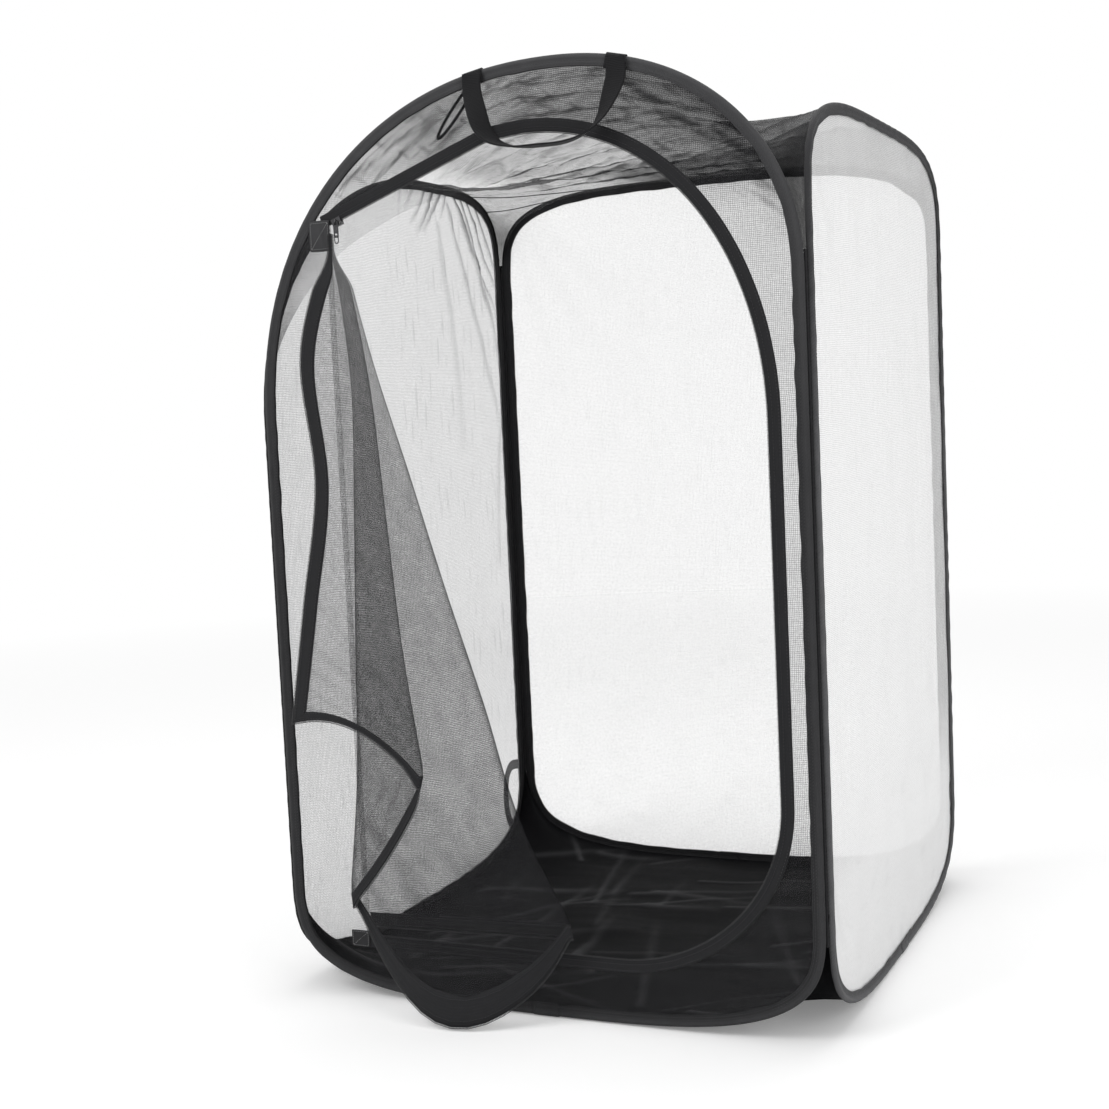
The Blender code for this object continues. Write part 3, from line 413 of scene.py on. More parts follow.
def stitches(name, line, normal, pitch=0.0033, length=0.0023, radius=0.00022):
    """A row of short raised stitches along a line on a surface."""
    line = np.asarray(line, float)
    travelled = lengths_along(line)
    count = max(int(travelled[-1] / pitch), 2)
    both = np.hstack([line, np.broadcast_to(normal, line.shape)])
    wanted = (np.arange(count) + 0.5) * travelled[-1] / count
    ends = [np.stack([np.interp(wanted + shift, travelled, both[:, k]) for k in range(6)], 1)
            for shift in (-length / 2, -length / 4, length / 4, length / 2)]
    corners, faces = [], []
    for index in range(count):
        base = index * 10
        run = ends[3][index, :3] - ends[0][index, :3]
        run /= max(np.linalg.norm(run), 1e-9)
        up = ends[1][index, 3:] / np.linalg.norm(ends[1][index, 3:])
        side = np.cross(run, up)
        corners.append(ends[0][index, :3] - up * radius * 0.8)
        for end in (ends[1], ends[2]):
            middle = end[index, :3] + up * radius * 0.35
            corners += [middle + up * radius, middle + side * radius, middle - up * radius, middle - side * radius]
        corners.append(ends[3][index, :3] - up * radius * 0.8)
        for k in range(4):
            n = (k + 1) % 4
            faces += [(base, base + 1 + k, base + 1 + n), (base + 1 + k, base + 5 + k, base + 5 + n, base + 1 + n),
                      (base + 9, base + 5 + n, base + 5 + k)]
    mesh = bpy.data.meshes.new(name)
    mesh.from_pydata([tuple(c) for c in corners], [], faces)
    mesh.uv_layers.new(name="cloth")
    mesh.shade_smooth()
    piece = bpy.data.objects.new(name, mesh)
    view.collection.objects.link(piece)
    return piece


def joined(name, pieces):
    """Several pieces made one."""
    bpy.ops.object.select_all(action="DESELECT")
    for piece in pieces:
        piece.select_set(True)
    bpy.context.view_layer.objects.active = pieces[0]
    bpy.ops.object.join()
    pieces[0].name = name
    return pieces[0]


# Each row of stitches: how far in from the wire it runs, and how far out of the tape's middle.
STITCH_ROWS = ((0.0070, 0.00172), (0.0042, 0.00156))
OVERLAP_HALF, OVERLAP_STEPS = 0.014, 8
OVERLAP_LIFT, OVERLAP_CLOTH = 0.00075, 0.0006
WIRE_SIDE, LIP_RUN = 0.003, 0.006
HOOPS = {}
for seed, (side, finish, slot) in enumerate((
        ("back", black_tape, "black_tape"), ("left", black_tape, "black_tape"),
        ("right", grey_tape, "grey_tape"), ("front", front_tape, "grey_tape"))):
    outline = hoop_outline(side)
    middle = outline + inwards(outline) * BULB
    count = int(spaced(middle, 2, True)[1] / TAPE_STEP)
    middle, length = spaced(middle, count, True)
    inner = inwards(middle)
    along = np.arange(count) * length / count
    HOOPS[side] = (middle, inner)
    swell = 1 + 0.08 * wobble(along, 0.021, 10 + seed)
    lean = 0.00018 * wobble(along, 0.034, 20 + seed)
    edge = 0.00035 * wobble(along, 0.045, 30 + seed)
    a, h = SECTION[:, 0][None, :], SECTION[:, 1][None, :]
    lip = fade(a, WIRE_SIDE, LIP_RUN)
    a = a + edge[:, None] * lip
    h = h * np.where(lip > 0, 1, swell[:, None]) + lean[:, None] * lip
    points = on_wall(side, middle[:, :1] + inner[:, :1] * a, middle[:, 1:] + inner[:, 1:] * a, HOOP_OUT + h)
    uv = grid_uv(SECTION_RUN, np.append(along, length))
    sleeve = surface(side + "_sleeve", points, uv, along=True)
    thicken(sleeve, TAPE_CLOTH)
    dress(sleeve, finish, side)
    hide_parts(side + "_hoop_tape")

    outward = on_wall(side, 0.0, 0.0, 1.0) - on_wall(side, 0.0, 0.0, 0.0)
    rows = []
    for depth, level in STITCH_ROWS:
        line = middle + inner * depth
        line = np.vstack([line, line[:1]])
        for face in (1, -1):
            places = on_wall(side, line[:, 0], line[:, 1], HOOP_OUT + face * level)
            rows.append(stitches(side + "_row", places, outward * face))
    dress(joined(side + "_hoop_stitches", rows), thread, side)

    # The tape's two ends overlap for 28 mm at the foot, under a second layer of tape.
    flat = np.linspace(-OVERLAP_HALF, OVERLAP_HALF, OVERLAP_STEPS + 1)
    lift = OVERLAP_LIFT * np.where(np.abs(flat) > 0.9 * OVERLAP_HALF, 0.72, 1.0)
    tangent = unit(np.gradient(SECTION, axis=0))
    away = np.stack([tangent[:, 1], -tangent[:, 0]], 1)
    away *= np.sign((away * (SECTION - np.array([0.004, 0]))).sum(1))[:, None]
    a, h = (SECTION[None, :, k] + away[None, :, k] * lift[:, None] for k in (0, 1))
    patch = surface(side + "_overlap", on_wall(side, flat[:, None], middle[0, 1] + a, HOOP_OUT + h),
                    grid_uv(SECTION_RUN, flat))
    thicken(patch, OVERLAP_CLOTH)
    dress(patch, finish, side)
    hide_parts(side + "_tape_overlap")


# Spring wires and their crimped ferrules stay as the CAD has them, inside the tapes: drawn steel,
# with the grey of heat treatment and the finer brightness of drawing marks along the wire.
def steel_finish(name, dark, light, roughness):
    made = Finish(name, Metallic=1.0)
    place = made.solid_place()
    patina = made.cloud(place, 140.0) * 0.7 + made.cloud(made.stretched(place, (900, 900, 40)), 1.0) * 0.3
    made.paint("Base Color", made.mixed(patina, dark, light))
    made.paint("Roughness", patina * 0.22 + roughness)
    made.raised(made.cloud(place, 2400.0), 0.00005)
    return made


wire_steel = steel_finish("spring_steel", (0.30, 0.30, 0.32), (0.62, 0.62, 0.64), 0.24)
tube_steel = steel_finish("crimped_tube", (0.38, 0.38, 0.37), (0.70, 0.70, 0.68), 0.30)


def refinish(node, finish):
    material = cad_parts[node].data.materials
    material.clear()
    material.append(finish.material)


for side in WALLS:
    refinish(side + "_spring_wire", wire_steel)
    refinish(side + "_wire_ferrule", tube_steel)


# Nets of the back and the two sides: fine polyester net, held between the lips of the tape and pulled
# tight by the hoop, with soft folds that fan out from the corners where it was cut too full. All are
# white; the left one is seen from inside against the light, so its threads carry painted shade: a
# darker grey than the others. The folds of every net are painted darker as shade too.
NET_PITCH = 0.0018


def net_finish(name, dark, light, hole, thread_cover, gathered):
    """Fine square net. Its alpha is the share that the threads cover, more where it is gathered, and its colour is
    painted darker there as shade in the folds.
    """
    made = Finish(name, Roughness=0.75, Specular_IOR_Level=0.15)
    place, across, along = made.cloth_place()
    drift = made.cloud(place, 75.0, 2.0) * (1.1 * NET_PITCH)
    net = threads(across + drift, NET_PITCH).math("MAXIMUM", threads(along + drift, NET_PITCH))
    folds = made.stored("gather_and_shading")
    dense = made.stored("dense")
    cloud = made.cloud(place, 22.0, 4.0)
    grain = made.cloud(place, 260.0, 2.0)
    cover = net * (thread_cover - hole) + hole + folds * gathered + dense + (cloud - 0.5) * 0.08
    cover = cover + (grain - 0.5) * 0.22
    made.paint("Alpha", cover.math("MINIMUM", 0.98).math("MAXIMUM", 0.0))
    # Painted shade: the colour goes from light to dark where the net is gathered.
    made.paint("Base Color", made.mixed(folds.math("MINIMUM", 1.0), light, dark))
    made.paint("Roughness", cloud * 0.2 + 0.62)
    made.raised(net, 0.00025)
    return made


white_net = net_finish("white_net", (0.45, 0.45, 0.46), (0.98, 0.98, 0.98), 0.05, 0.46, 0.30)
# The left net is the same white net, painted grey as shade.
shaded_side_net = net_finish("shaded_side_net", (0.02, 0.02, 0.025), (0.58, 0.58, 0.59), 0.18, 0.80, 0.72)
black_net = net_finish("black_net", (0.008, 0.008, 0.009), (0.022, 0.022, 0.024), 0.15, 0.72, 0.47)


def crease(x, z, line, width):
    """1 along a line of places, falling to 0 over its width and towards its far end."""
    line = np.asarray(line, float)
    travelled = lengths_along(line)
    travelled /= travelled[-1]
    highest = np.zeros(np.shape(x))
    for start, end, before, after in zip(line, line[1:], travelled, travelled[1:]):
        run = end - start
        t = np.clip(((x - start[0]) * run[0] + (z - start[1]) * run[1]) / (run @ run), 0, 1)
        off = np.hypot(x - start[0] - t * run[0], z - start[1] - t * run[1])
        far = before + t * (after - before)
        highest = np.maximum(highest, np.exp(-(off / (width * (1 + 0.5 * far))) ** 2) * (1 - far) ** 0.6)
    return highest


def crowded(line, count, height):
    """Points round a closed line, four times as close together above a height."""
    line = spaced(line, 6 * count, True)[0]
    share = np.cumsum(np.where(line[:, 1] > height, 4.0, 1.0))
    wanted = np.arange(count) * share[-1] / count
    return np.stack([np.interp(wanted, share, line[:, k]) for k in (0, 1)], 1)


def ring_uv(x, z):
    """UV pairs for rings of places on a wall, each ring closed by its own first place."""
    return np.stack([np.concatenate([measure, measure[:, :1]], 1) for measure in (x, z)], -1)


def area_in(line):
    """The area inside a closed line."""
    return abs(float((line[:, 0] * np.roll(line[:, 1], -1) - np.roll(line[:, 0], -1) * line[:, 1]).sum() / 2))


# Folds of each net: the line of each, across and up, from where it starts, then its width and strength.
CREASES = {
    "left": ((((-0.095, 0.908), (-0.048, 0.857)), 0.0028, 0.75), (((-0.117, 0.908), (-0.064, 0.848)), 0.0034, 1.00),
             (((-0.140, 0.908), (-0.076, 0.850)), 0.0032, 0.90), (((-0.152, 0.908), (-0.126, 0.868)), 0.0026, 0.65),
             (((-0.064, 0.908), (-0.034, 0.874)), 0.0036, 0.40), (((-0.030, 0.908), (-0.014, 0.860)), 0.0040, 0.28),
             (((-0.168, 0.905), (-0.206, 0.834), (-0.297, 0.735)), 0.0034, 0.85),
             (((-0.205, 0.900), (-0.250, 0.825), (-0.298, 0.770)), 0.0032, 0.90),
             (((-0.232, 0.893), (-0.272, 0.827), (-0.298, 0.790)), 0.0030, 0.85),
             (((-0.176, 0.890), (-0.266, 0.744), (-0.298, 0.640)), 0.0040, 0.60),
             (((-0.150, 0.890), (-0.222, 0.730), (-0.290, 0.560)), 0.0050, 0.42),
             (((-0.188, 0.900), (-0.236, 0.786), (-0.296, 0.680)), 0.0034, 0.75),
             (((-0.292, 0.700), (-0.262, 0.520), (-0.250, 0.400)), 0.0050, 0.30),
             (((-0.120, 0.860), (-0.150, 0.700), (-0.165, 0.560)), 0.0080, 0.22)),
    "right": ((((-0.283, 0.890), (-0.200, 0.720)), 0.0050, 0.22), (((-0.285, 0.880), (-0.240, 0.680)), 0.0040, 0.18),
              (((-0.286, 0.860), (-0.265, 0.600)), 0.0040, 0.18), (((-0.286, 0.220), (-0.262, 0.070)), 0.0040, 0.40),
              (((-0.288, 0.190), (-0.236, 0.060)), 0.0050, 0.34), (((-0.282, 0.250), (-0.274, 0.100)), 0.0040, 0.30)),
    "back": ((((0.285, 0.885), (0.210, 0.620)), 0.0100, 0.16), (((0.280, 0.890), (0.100, 0.600)), 0.0120, 0.13),
             (((0.270, 0.895), (0.050, 0.700)), 0.0120, 0.10)),
}
# Points round each net, the rings that they make, and how much narrower than written its folds are.
RINGS = {"left": (740, 122, 0.75), "right": (300, 84, 1.0), "back": (300, 84, 1.0)}
NET_RIM, NET_DIP = 0.0042, 0.0016
RIM_RUN = 0.06
NET_HEART = (0.0, 0.47)
CROWDED_ABOVE = 0.55
for seed, (side, folds) in enumerate(CREASES.items()):
    middle, inner = HOOPS[side]
    around_count, ring_count, narrowed = RINGS[side]
    rim = crowded(middle + inner * NET_RIM, around_count, CROWDED_ABOVE)
    rings = np.linspace(1, 0, ring_count)[:, None] ** 0.7
    x, z = (NET_HEART[k] + (rim[None, :, k] - NET_HEART[k]) * rings for k in (0, 1))
    held = fade(1 - rings, 0, RIM_RUN) ** 0.8
    dip, gather_and_shading, dense = 0 * x, 0 * x, 0 * x
    for line, width, strength in folds:
        stroke = strength * crease(x, z, line, width * narrowed)
        dip += 0.004 * stroke
        gather_and_shading = np.maximum(gather_and_shading, stroke)
    slack = ripples(x, z, 0.075, 0.15, 0.35, 40 + seed)
    fine = ripples(x, z, 0.016, 0.10, 0.22, 50 + seed)
    out = HOOP_OUT - held * (dip + NET_DIP + 0.0015 * slack + 0.0005 * fine)
    gather_and_shading = gather_and_shading + 0.14 * np.clip(fine - 0.8, 0, 1) + 0.40 * np.exp(-(1 - rings) / 0.015)
    if side == "right":
        dense = 0.46 + 0.36 * fade(-z, -0.24, 0.10)
    net = surface(side + "_net", on_wall(side, x, z, out), ring_uv(x, z), around=True,
                  gather_and_shading=np.clip(gather_and_shading, 0, 1), dense=dense)
    finish_by(net, "WELD", merge_threshold=1e-6)
    area = area_in(rim)
    dress(net, shaded_side_net if side == "left" else white_net, side)
    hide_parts(side + "_mesh")


# Corner seams: the tapes of two neighbouring hoops are whipped together along each corner post, so
# that the walls fold on the seam. A cord of thread and cloth with a stitch every few millimetres.
CORD_RADIUS, CORD_STITCH, CORD_STEP = 0.0017, 0.0044, 0.0011
CORD_BELOW, CORD_ABOVE, FRONT_CORD_ABOVE = 0.032, 0.034, 0.021
for name, x, y, top, body in (
        ("seam_back_left", -1, 1, SIDE_POST, "back"), ("seam_back_right", 1, 1, SIDE_POST, "back"),
        ("seam_front_left", -1, -1, FRONT_LEFT_POST, "left"),
        ("seam_front_right", 1, -1, FRONT_RIGHT_POST, "right")):
    above = CORD_ABOVE if top == SIDE_POST else FRONT_CORD_ABOVE
    heights = np.arange(FOOT_POST - CORD_BELOW, top + above, CORD_STEP)
    turn = np.linspace(0, 2 * math.pi, 11)[:-1]
    wound = heights[:, None] * 2 * math.pi / CORD_STITCH
    radius = CORD_RADIUS * (1 - 0.10 * np.cos(wound)) * (1 + 0.05 * np.cos(turn[None, :] - wound / 2))
    points = np.stack([x * HINGE + radius * np.cos(turn), y * HINGE + radius * np.sin(turn),
                       np.broadcast_to(heights[:, None], radius.shape)], -1)
    seam = surface(name + "_cord", points, grid_uv(np.linspace(0, 0.008, 11), heights), around=True)
    bm = bmesh.new()
    bm.from_mesh(seam.data)
    bmesh.ops.holes_fill(bm, edges=bm.edges)
    bmesh.ops.recalc_face_normals(bm, faces=bm.faces)
    bm.to_mesh(seam.data)
    bm.free()
    dress(seam, black_tape, body)
    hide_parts(name)


# Front wall: black net round the door opening, cut wider than the hoop so that it gathers along the
# arch and falls in long creases between the tape and the zipper.
DOOR_LEFT, DOOR_RIGHT = -0.20496, 0.261995
DOOR_TOP, DOOR_BOTTOM = 0.897, 0.064
DOOR_CORNER = 0.826
SLOPE_END = (-0.02013, 0.8935)
ARCH_CENTRE = (0.02013, 0.600)
DOOR_FOOT_CENTRE = (0.08479, 0.235)

arch = quarter(ARCH_CENTRE, (DOOR_RIGHT - ARCH_CENTRE[0], DOOR_TOP - ARCH_CENTRE[1]), 2.1, 0)
foot = quarter(DOOR_FOOT_CENTRE, (DOOR_RIGHT - DOOR_FOOT_CENTRE[0], DOOR_FOOT_CENTRE[1] - DOOR_BOTTOM), 2.0, 270)
zip_line = np.vstack([[(DOOR_LEFT, DOOR_BOTTOM)], foot, arch, [SLOPE_END, (DOOR_LEFT, DOOR_CORNER)]])


def eased(points, reach, count):
    """Round a line's corners over a distance, keeping its two ends."""
    line, length = spaced(points, count)
    width = max(int(reach / (length / count)), 1)
    padded = np.vstack([2 * line[0] - line[width:0:-1], line, 2 * line[-1] - line[-2:-width - 2:-1]])
    kernel = np.hanning(2 * width + 3)[1:-1]
    kernel /= kernel.sum()
    return np.stack([np.convolve(padded[:, k], kernel, "valid") for k in (0, 1)], 1)


zip_line = eased(zip_line, 0.010, 900)
hinge_side = np.linspace((DOOR_LEFT, DOOR_CORNER), (DOOR_LEFT, DOOR_BOTTOM), 202)[1:-1]
opening = np.vstack([zip_line, hinge_side])
SURROUND_STEPS, SURROUND_RINGS = 1100, 64
DOOR_HEART = np.array([0.03, 0.47])
FAN_HEIGHT = 0.55
CREASED_FROM, CREASED_RUN = 0.80, 0.07
SHEER_BELOW = 0.79


def bearing(line):
    """The turn of a line's points round the heart of the door, from straight down."""
    gap = line - DOOR_HEART
    return (np.arctan2(gap[:, 1], gap[:, 0]) + math.pi / 2) % (2 * math.pi)


def by_bearing(line):
    """A closed line's points in the order of their bearings, one more at each end, and the bearings."""
    turn = bearing(line)
    order = np.argsort(turn)
    turn, line = turn[order], line[order]
    turn = np.concatenate([turn[-1:] - 2 * math.pi, turn, turn[:1] + 2 * math.pi])
    return np.vstack([line[-1:], line, line[:1]]), turn


even = spaced(opening, SURROUND_STEPS, True)[0]
hoop_line, hoop_turn = by_bearing(HOOPS["front"][0] + HOOPS["front"][1] * NET_RIM)
outer = np.stack([np.interp(bearing(even), hoop_turn, hoop_line[:, k]) for k in (0, 1)], 1)
share = np.linspace(0, 1, SURROUND_RINGS)[:, None]
x, z = (even[None, :, k] * (1 - share) + outer[None, :, k] * share for k in (0, 1))
band_width = np.hypot(*(outer - even).T)[None, :]
held = fade(share * band_width, 0.0105, 0.014) * fade((1 - share) * band_width, 0.006, 0.012)
over_arch = fade(z, CREASED_FROM, CREASED_RUN)
run, reach = np.arctan2(z - FAN_HEIGHT, x - FRONT_APEX) * 0.30, np.hypot(x - FRONT_APEX, z - FAN_HEIGHT)
long_creases = ripples(run, reach, 0.011, 1.38, 0.20, 60)
cross_creases = ripples(x, z, 0.016, 0.9, 0.35, 61)
thin = np.clip(1 - np.abs(ripples(run, reach, 0.030, 1.25, 0.30, 63)) / 0.16, 0, 1)
slack = ripples(x, z, 0.09, 0.4, 0.6, 62)
bunched = fade(x, -0.02, 0.10)
out = HOOP_OUT + held * (over_arch * (0.0012 * long_creases + 0.0008 * cross_creases - 0.0012 * thin)
                         + 0.0010 * slack)
gather_and_shading = over_arch * (np.clip(long_creases - 0.4, 0, 2) * 0.42 + np.clip(cross_creases - 0.6, 0, 2) * 0.30
                      + thin * 0.55 + 0.22 + 0.36 * bunched)
gather_and_shading = gather_and_shading + np.clip(slack - 0.8, 0, 1) * 0.10 + 0.35 * np.exp(-(1 - share) / 0.03)
# The larger folds over the arch, written as those of the other nets.
SURROUND_FOLDS = ((((0.176, 0.936), (0.222, 0.900), (0.262, 0.845), (0.290, 0.770)), 0.010, 1.25),
                  (((0.120, 0.938), (0.182, 0.893), (0.244, 0.841)), 0.004, 1.10),
                  (((0.215, 0.880), (0.245, 0.850), (0.270, 0.800)), 0.004, 0.90),
                  (((-0.184, 0.905), (-0.118, 0.901), (-0.072, 0.911)), 0.006, 0.45),
                  (((-0.190, 0.868), (-0.142, 0.879), (-0.096, 0.889)), 0.007, 0.50),
                  (((0.010, 0.936), (0.060, 0.912), (0.142, 0.893)), 0.006, 0.40),
                  (((-0.045, 0.915), (-0.088, 0.878)), 0.005, 0.50))
for line, width, strength in SURROUND_FOLDS:
    stroke = strength * crease(x, z, line, width)
    gather_and_shading = gather_and_shading + stroke * (0.75 + 0.35 * long_creases)
    out = out + held * 0.0022 * stroke
sheer = fade(-x, -DOOR_LEFT, 0.004) * fade(-z, -SHEER_BELOW, 0.05)
surround = surface("front_net", on_wall("front", x, z, out), ring_uv(x, z), around=True,
                   gather_and_shading=np.clip(gather_and_shading, 0, 1.5), dense=-0.27 * sheer)
dress(surround, black_net, "front")
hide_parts("front_mesh")
SURROUND_AREA = area_in(HOOPS["front"][0]) - area_in(opening)


# Roof and floor are each one sheet sewn into the four hoops, so each is a saddle between them. The roof
# is the same black net, with two stitched tucks across a corner; the floor is dense black cloth.
NET_STEPS, RELAX_ROUNDS = 16, 400
SHEET_OUT = 0.0022


def hoop_edge(side, from_height, to_height, upper):
    """Where the roof or floor is sewn to a hoop, from the right post to the left one."""
    outline = hoop_outline(side)
    centre = outline + inwards(outline) * BULB
    if upper:
        chosen = centre[centre[:, 1] > np.where(centre[:, 0] > 0, from_height, to_height)]
    else:
        low = centre[centre[:, 1] < min(from_height, to_height)]
        chosen = low[np.argsort(-low[:, 0])]
    run = np.vstack([[(HALF_WIDTH, from_height)], chosen, [(-HALF_WIDTH, to_height)]])
    run[:, 0] = np.clip(run[:, 0], -HALF_WIDTH, HALF_WIDTH)
    line = spaced(run, NET_STEPS + 1)[0]
    return on_wall(side, line[:, 0], line[:, 1], SHEET_OUT)


def saddle(front, right, back, left, lowest, sag):
    """The relaxed sheet between four sewn edges."""
    ramp = np.linspace(0, 1, NET_STEPS + 1)[:, None, None]
    net = front[::-1][None] * (1 - ramp) + back[None] * ramp
    net[:, 0], net[:, -1] = left, right[::-1]
    for _ in range(RELAX_ROUNDS):
        middle = (net[:-2, 1:-1] + net[2:, 1:-1] + net[1:-1, :-2] + net[1:-1, 2:]) / 4
        middle[:, :, 2] = np.maximum(middle[:, :, 2] - sag, lowest)
        net[1:-1, 1:-1] = middle
    return net


def smooth(p0, p1, p2, p3, t):
    """The place a share t of the way from p1 to p2, on a smooth curve through all four."""
    return 0.5 * (2 * p1 + (p2 - p0) * t + (2 * p0 - 5 * p1 + 4 * p2 - p3) * t ** 2
                  + (3 * p1 - p0 - 3 * p2 + p3) * t ** 3)


def finer(net, count):
    """The sheet again with count steps each way, on smooth curves through its points."""
    for _ in range(2):
        size = net.shape[0]
        wanted = np.linspace(0, size - 1, count + 1)
        low = np.clip(wanted.astype(int), 0, size - 2)
        t = (wanted - low)[:, None, None]
        before, after = np.clip(low - 1, 0, size - 1), np.clip(low + 2, 0, size - 1)
        net = smooth(net[before], net[low], net[low + 1], net[after], t).transpose(1, 0, 2)
    return net


def normals_of(net):
    """Unit normals of a grid of points."""
    return unit(np.cross(np.gradient(net, axis=1), np.gradient(net, axis=0)))


def lifted(net, height):
    """The sheet with each point moved along its normal, which points up in the middle."""
    normals, middle = normals_of(net), len(net) // 2
    return net + normals * height[:, :, None] * np.sign(normals[middle, middle, 2])


def from_rim(steps):
    """How far the points of a square sheet are from its rim, as a share of its width."""
    p = np.linspace(0, 1, steps + 1)
    return np.minimum.outer(np.minimum(p, 1 - p), np.minimum(p, 1 - p))


def grid_lengths(net):
    """Lengths of the cloth across a grid from its first column, and along it from its first row."""
    across = np.cumsum(np.linalg.norm(np.diff(net, axis=1), axis=2), 1)
    along = np.cumsum(np.linalg.norm(np.diff(net, axis=0), axis=2), 0)
    return (np.concatenate([np.zeros((net.shape[0], 1)), across], 1),
            np.concatenate([np.zeros((1, net.shape[1])), along], 0))


def flat_uv(net):
    """Cloth places of a grid, measured across from its middle column."""
    across, along = grid_lengths(net)
    middle = net.shape[1] // 2
    return np.stack([across - across[:, middle:middle + 1], along], -1)


def mound(x, y, at, reach):
    """1 at a place, falling softly to 0 over its reach each way."""
    return np.exp(-(((x - at[0]) / reach[0]) ** 2 + ((y - at[1]) / reach[1]) ** 2))


ROOF_STEPS, ROOF_HELD = 210, 0.05
# Soft tucks in the roof's right half, written as the folds of the nets.
SOFT_TUCKS = ((((0.240, -0.060), (0.200, -0.020), (0.150, 0.012)), 0.005, 1.0),
              (((0.262, -0.005), (0.190, 0.012), (0.120, 0.010)), 0.004, 0.8),
              (((0.250, -0.120), (0.190, -0.060), (0.130, -0.040)), 0.004, 0.7))
roof = finer(saddle(hoop_edge("front", FRONT_RIGHT_POST, FRONT_LEFT_POST, True),
                    hoop_edge("right", SIDE_POST, FRONT_RIGHT_POST, True),
                    hoop_edge("back", SIDE_POST, SIDE_POST, True),
                    hoop_edge("left", FRONT_LEFT_POST, SIDE_POST, True), -1.0, 0.0), ROOF_STEPS)
edge = from_rim(ROOF_STEPS)
held = fade(edge, 0, ROOF_HELD) ** 0.8
x, y = roof[:, :, 0], roof[:, :, 1]
swags = ripples(x, y, 0.085, 1.35, 0.35, 70)
pleats = ripples(x, y, 0.026, 1.2, 0.45, 71)
radial = ripples(np.arctan2(y + 0.32, x - 0.28) * 0.35, np.hypot(x - 0.28, y + 0.32), 0.030, 0.15, 0.2, 72)
corner = fade(-x, 0.10, 0.06) * fade(-y, -0.05, 0.10)
shaded = fade(y + 0.010 * pleats, -0.03, 0.05) * fade(x + 0.012 * radial, -0.08, 0.05)
shaded = np.maximum(shaded, 0.36 * fade(x, 0.09, 0.06))
ridge = mound(x, y, (0.23, -0.15), (0.10, 0.13))
thin = np.clip(1 - np.abs(ripples(x, y, 0.050, 1.25, 0.35, 73)) / 0.12, 0, 1)
calm = (1 - 0.85 * corner) * (1 - 0.6 * fade(y, 0.10, 0.06) * fade(-x, -0.02, 0.06))
tuck = np.max([strength * crease(x, y, line, width) for line, width, strength in SOFT_TUCKS], 0)
height = held * (calm * (1 - 0.95 * ridge) * (0.0020 * swags + 0.0007 * pleats + 0.0008 * radial - 0.0010 * thin)
                 + 0.003 * tuck + 0.007 * mound(x, y, (0.22, -0.14), (0.07, 0.12)))
roof = lifted(roof, height)
gather_and_shading = 0.30 + calm * (0.22 * np.clip(pleats, 0, 2) + 0.16 * np.clip(radial - 0.3, 0, 2)
                        + 0.10 * np.clip(swags, 0, 2))
pinch = mound(np.abs(x), np.abs(y), (0.285, 0.285), (0.030, 0.030))
gather_and_shading = gather_and_shading + 0.90 * shaded + 0.40 * calm * thin + 1.2 * tuck + 0.25 * np.exp(-edge / 0.010) + 0.8 * pinch
roof_net = surface("roof_net", roof, flat_uv(roof), gather_and_shading=np.clip(gather_and_shading, 0, 1.5), dense=-0.50 * corner)
dress(roof_net, black_net, "back")
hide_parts("roof_mesh")
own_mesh(roof_net)

# Two stitched tucks cross the roof's back left corner: shares of its length and width at both ends.
TUCKS = (((0.800, 0.004), (0.985, 0.345)), ((0.860, 0.004), (0.985, 0.270)))
TUCK_POINTS, TUCK_HALF, TUCK_RISE = 90, 0.0013, 0.0006
STRAIGHT = 0.80
seams = []
for n, (start, end) in enumerate(TUCKS):
    spot = np.linspace(start, end, TUCK_POINTS) * ROOF_STEPS
    low = np.floor(spot).astype(int)
    f = (spot - low)[:, :, None]
    corners = [roof[low[:, 0] + i, low[:, 1] + j] for i in (0, 1) for j in (0, 1)]
    line = ((corners[0] * (1 - f[:, 1]) + corners[1] * f[:, 1]) * (1 - f[:, 0])
            + (corners[2] * (1 - f[:, 1]) + corners[3] * f[:, 1]) * f[:, 0])
    chord = (line[-1:] - line[:1]) * np.linspace(0, 1, TUCK_POINTS)[:, None]
    line = line[:1] + chord * STRAIGHT + (line - line[:1]) * (1 - STRAIGHT)
    ring = np.linspace(0, 2 * math.pi, 9)[:-1]
    points = line[:, None, :] + np.stack([0 * ring, TUCK_HALF * np.cos(ring), TUCK_RISE * np.sin(ring)], 1)[None]
    seams.append(surface("roof_seam_%d" % n, points,
                         grid_uv(np.linspace(0, 0.005, 9), np.linspace(0, 0.25, TUCK_POINTS)), around=True))
roof_seams = joined("roof_seams", seams)
finish_by(roof_seams, "WELD", merge_threshold=1e-7)
dress(roof_seams, black_tape, "back")
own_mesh(roof_seams)

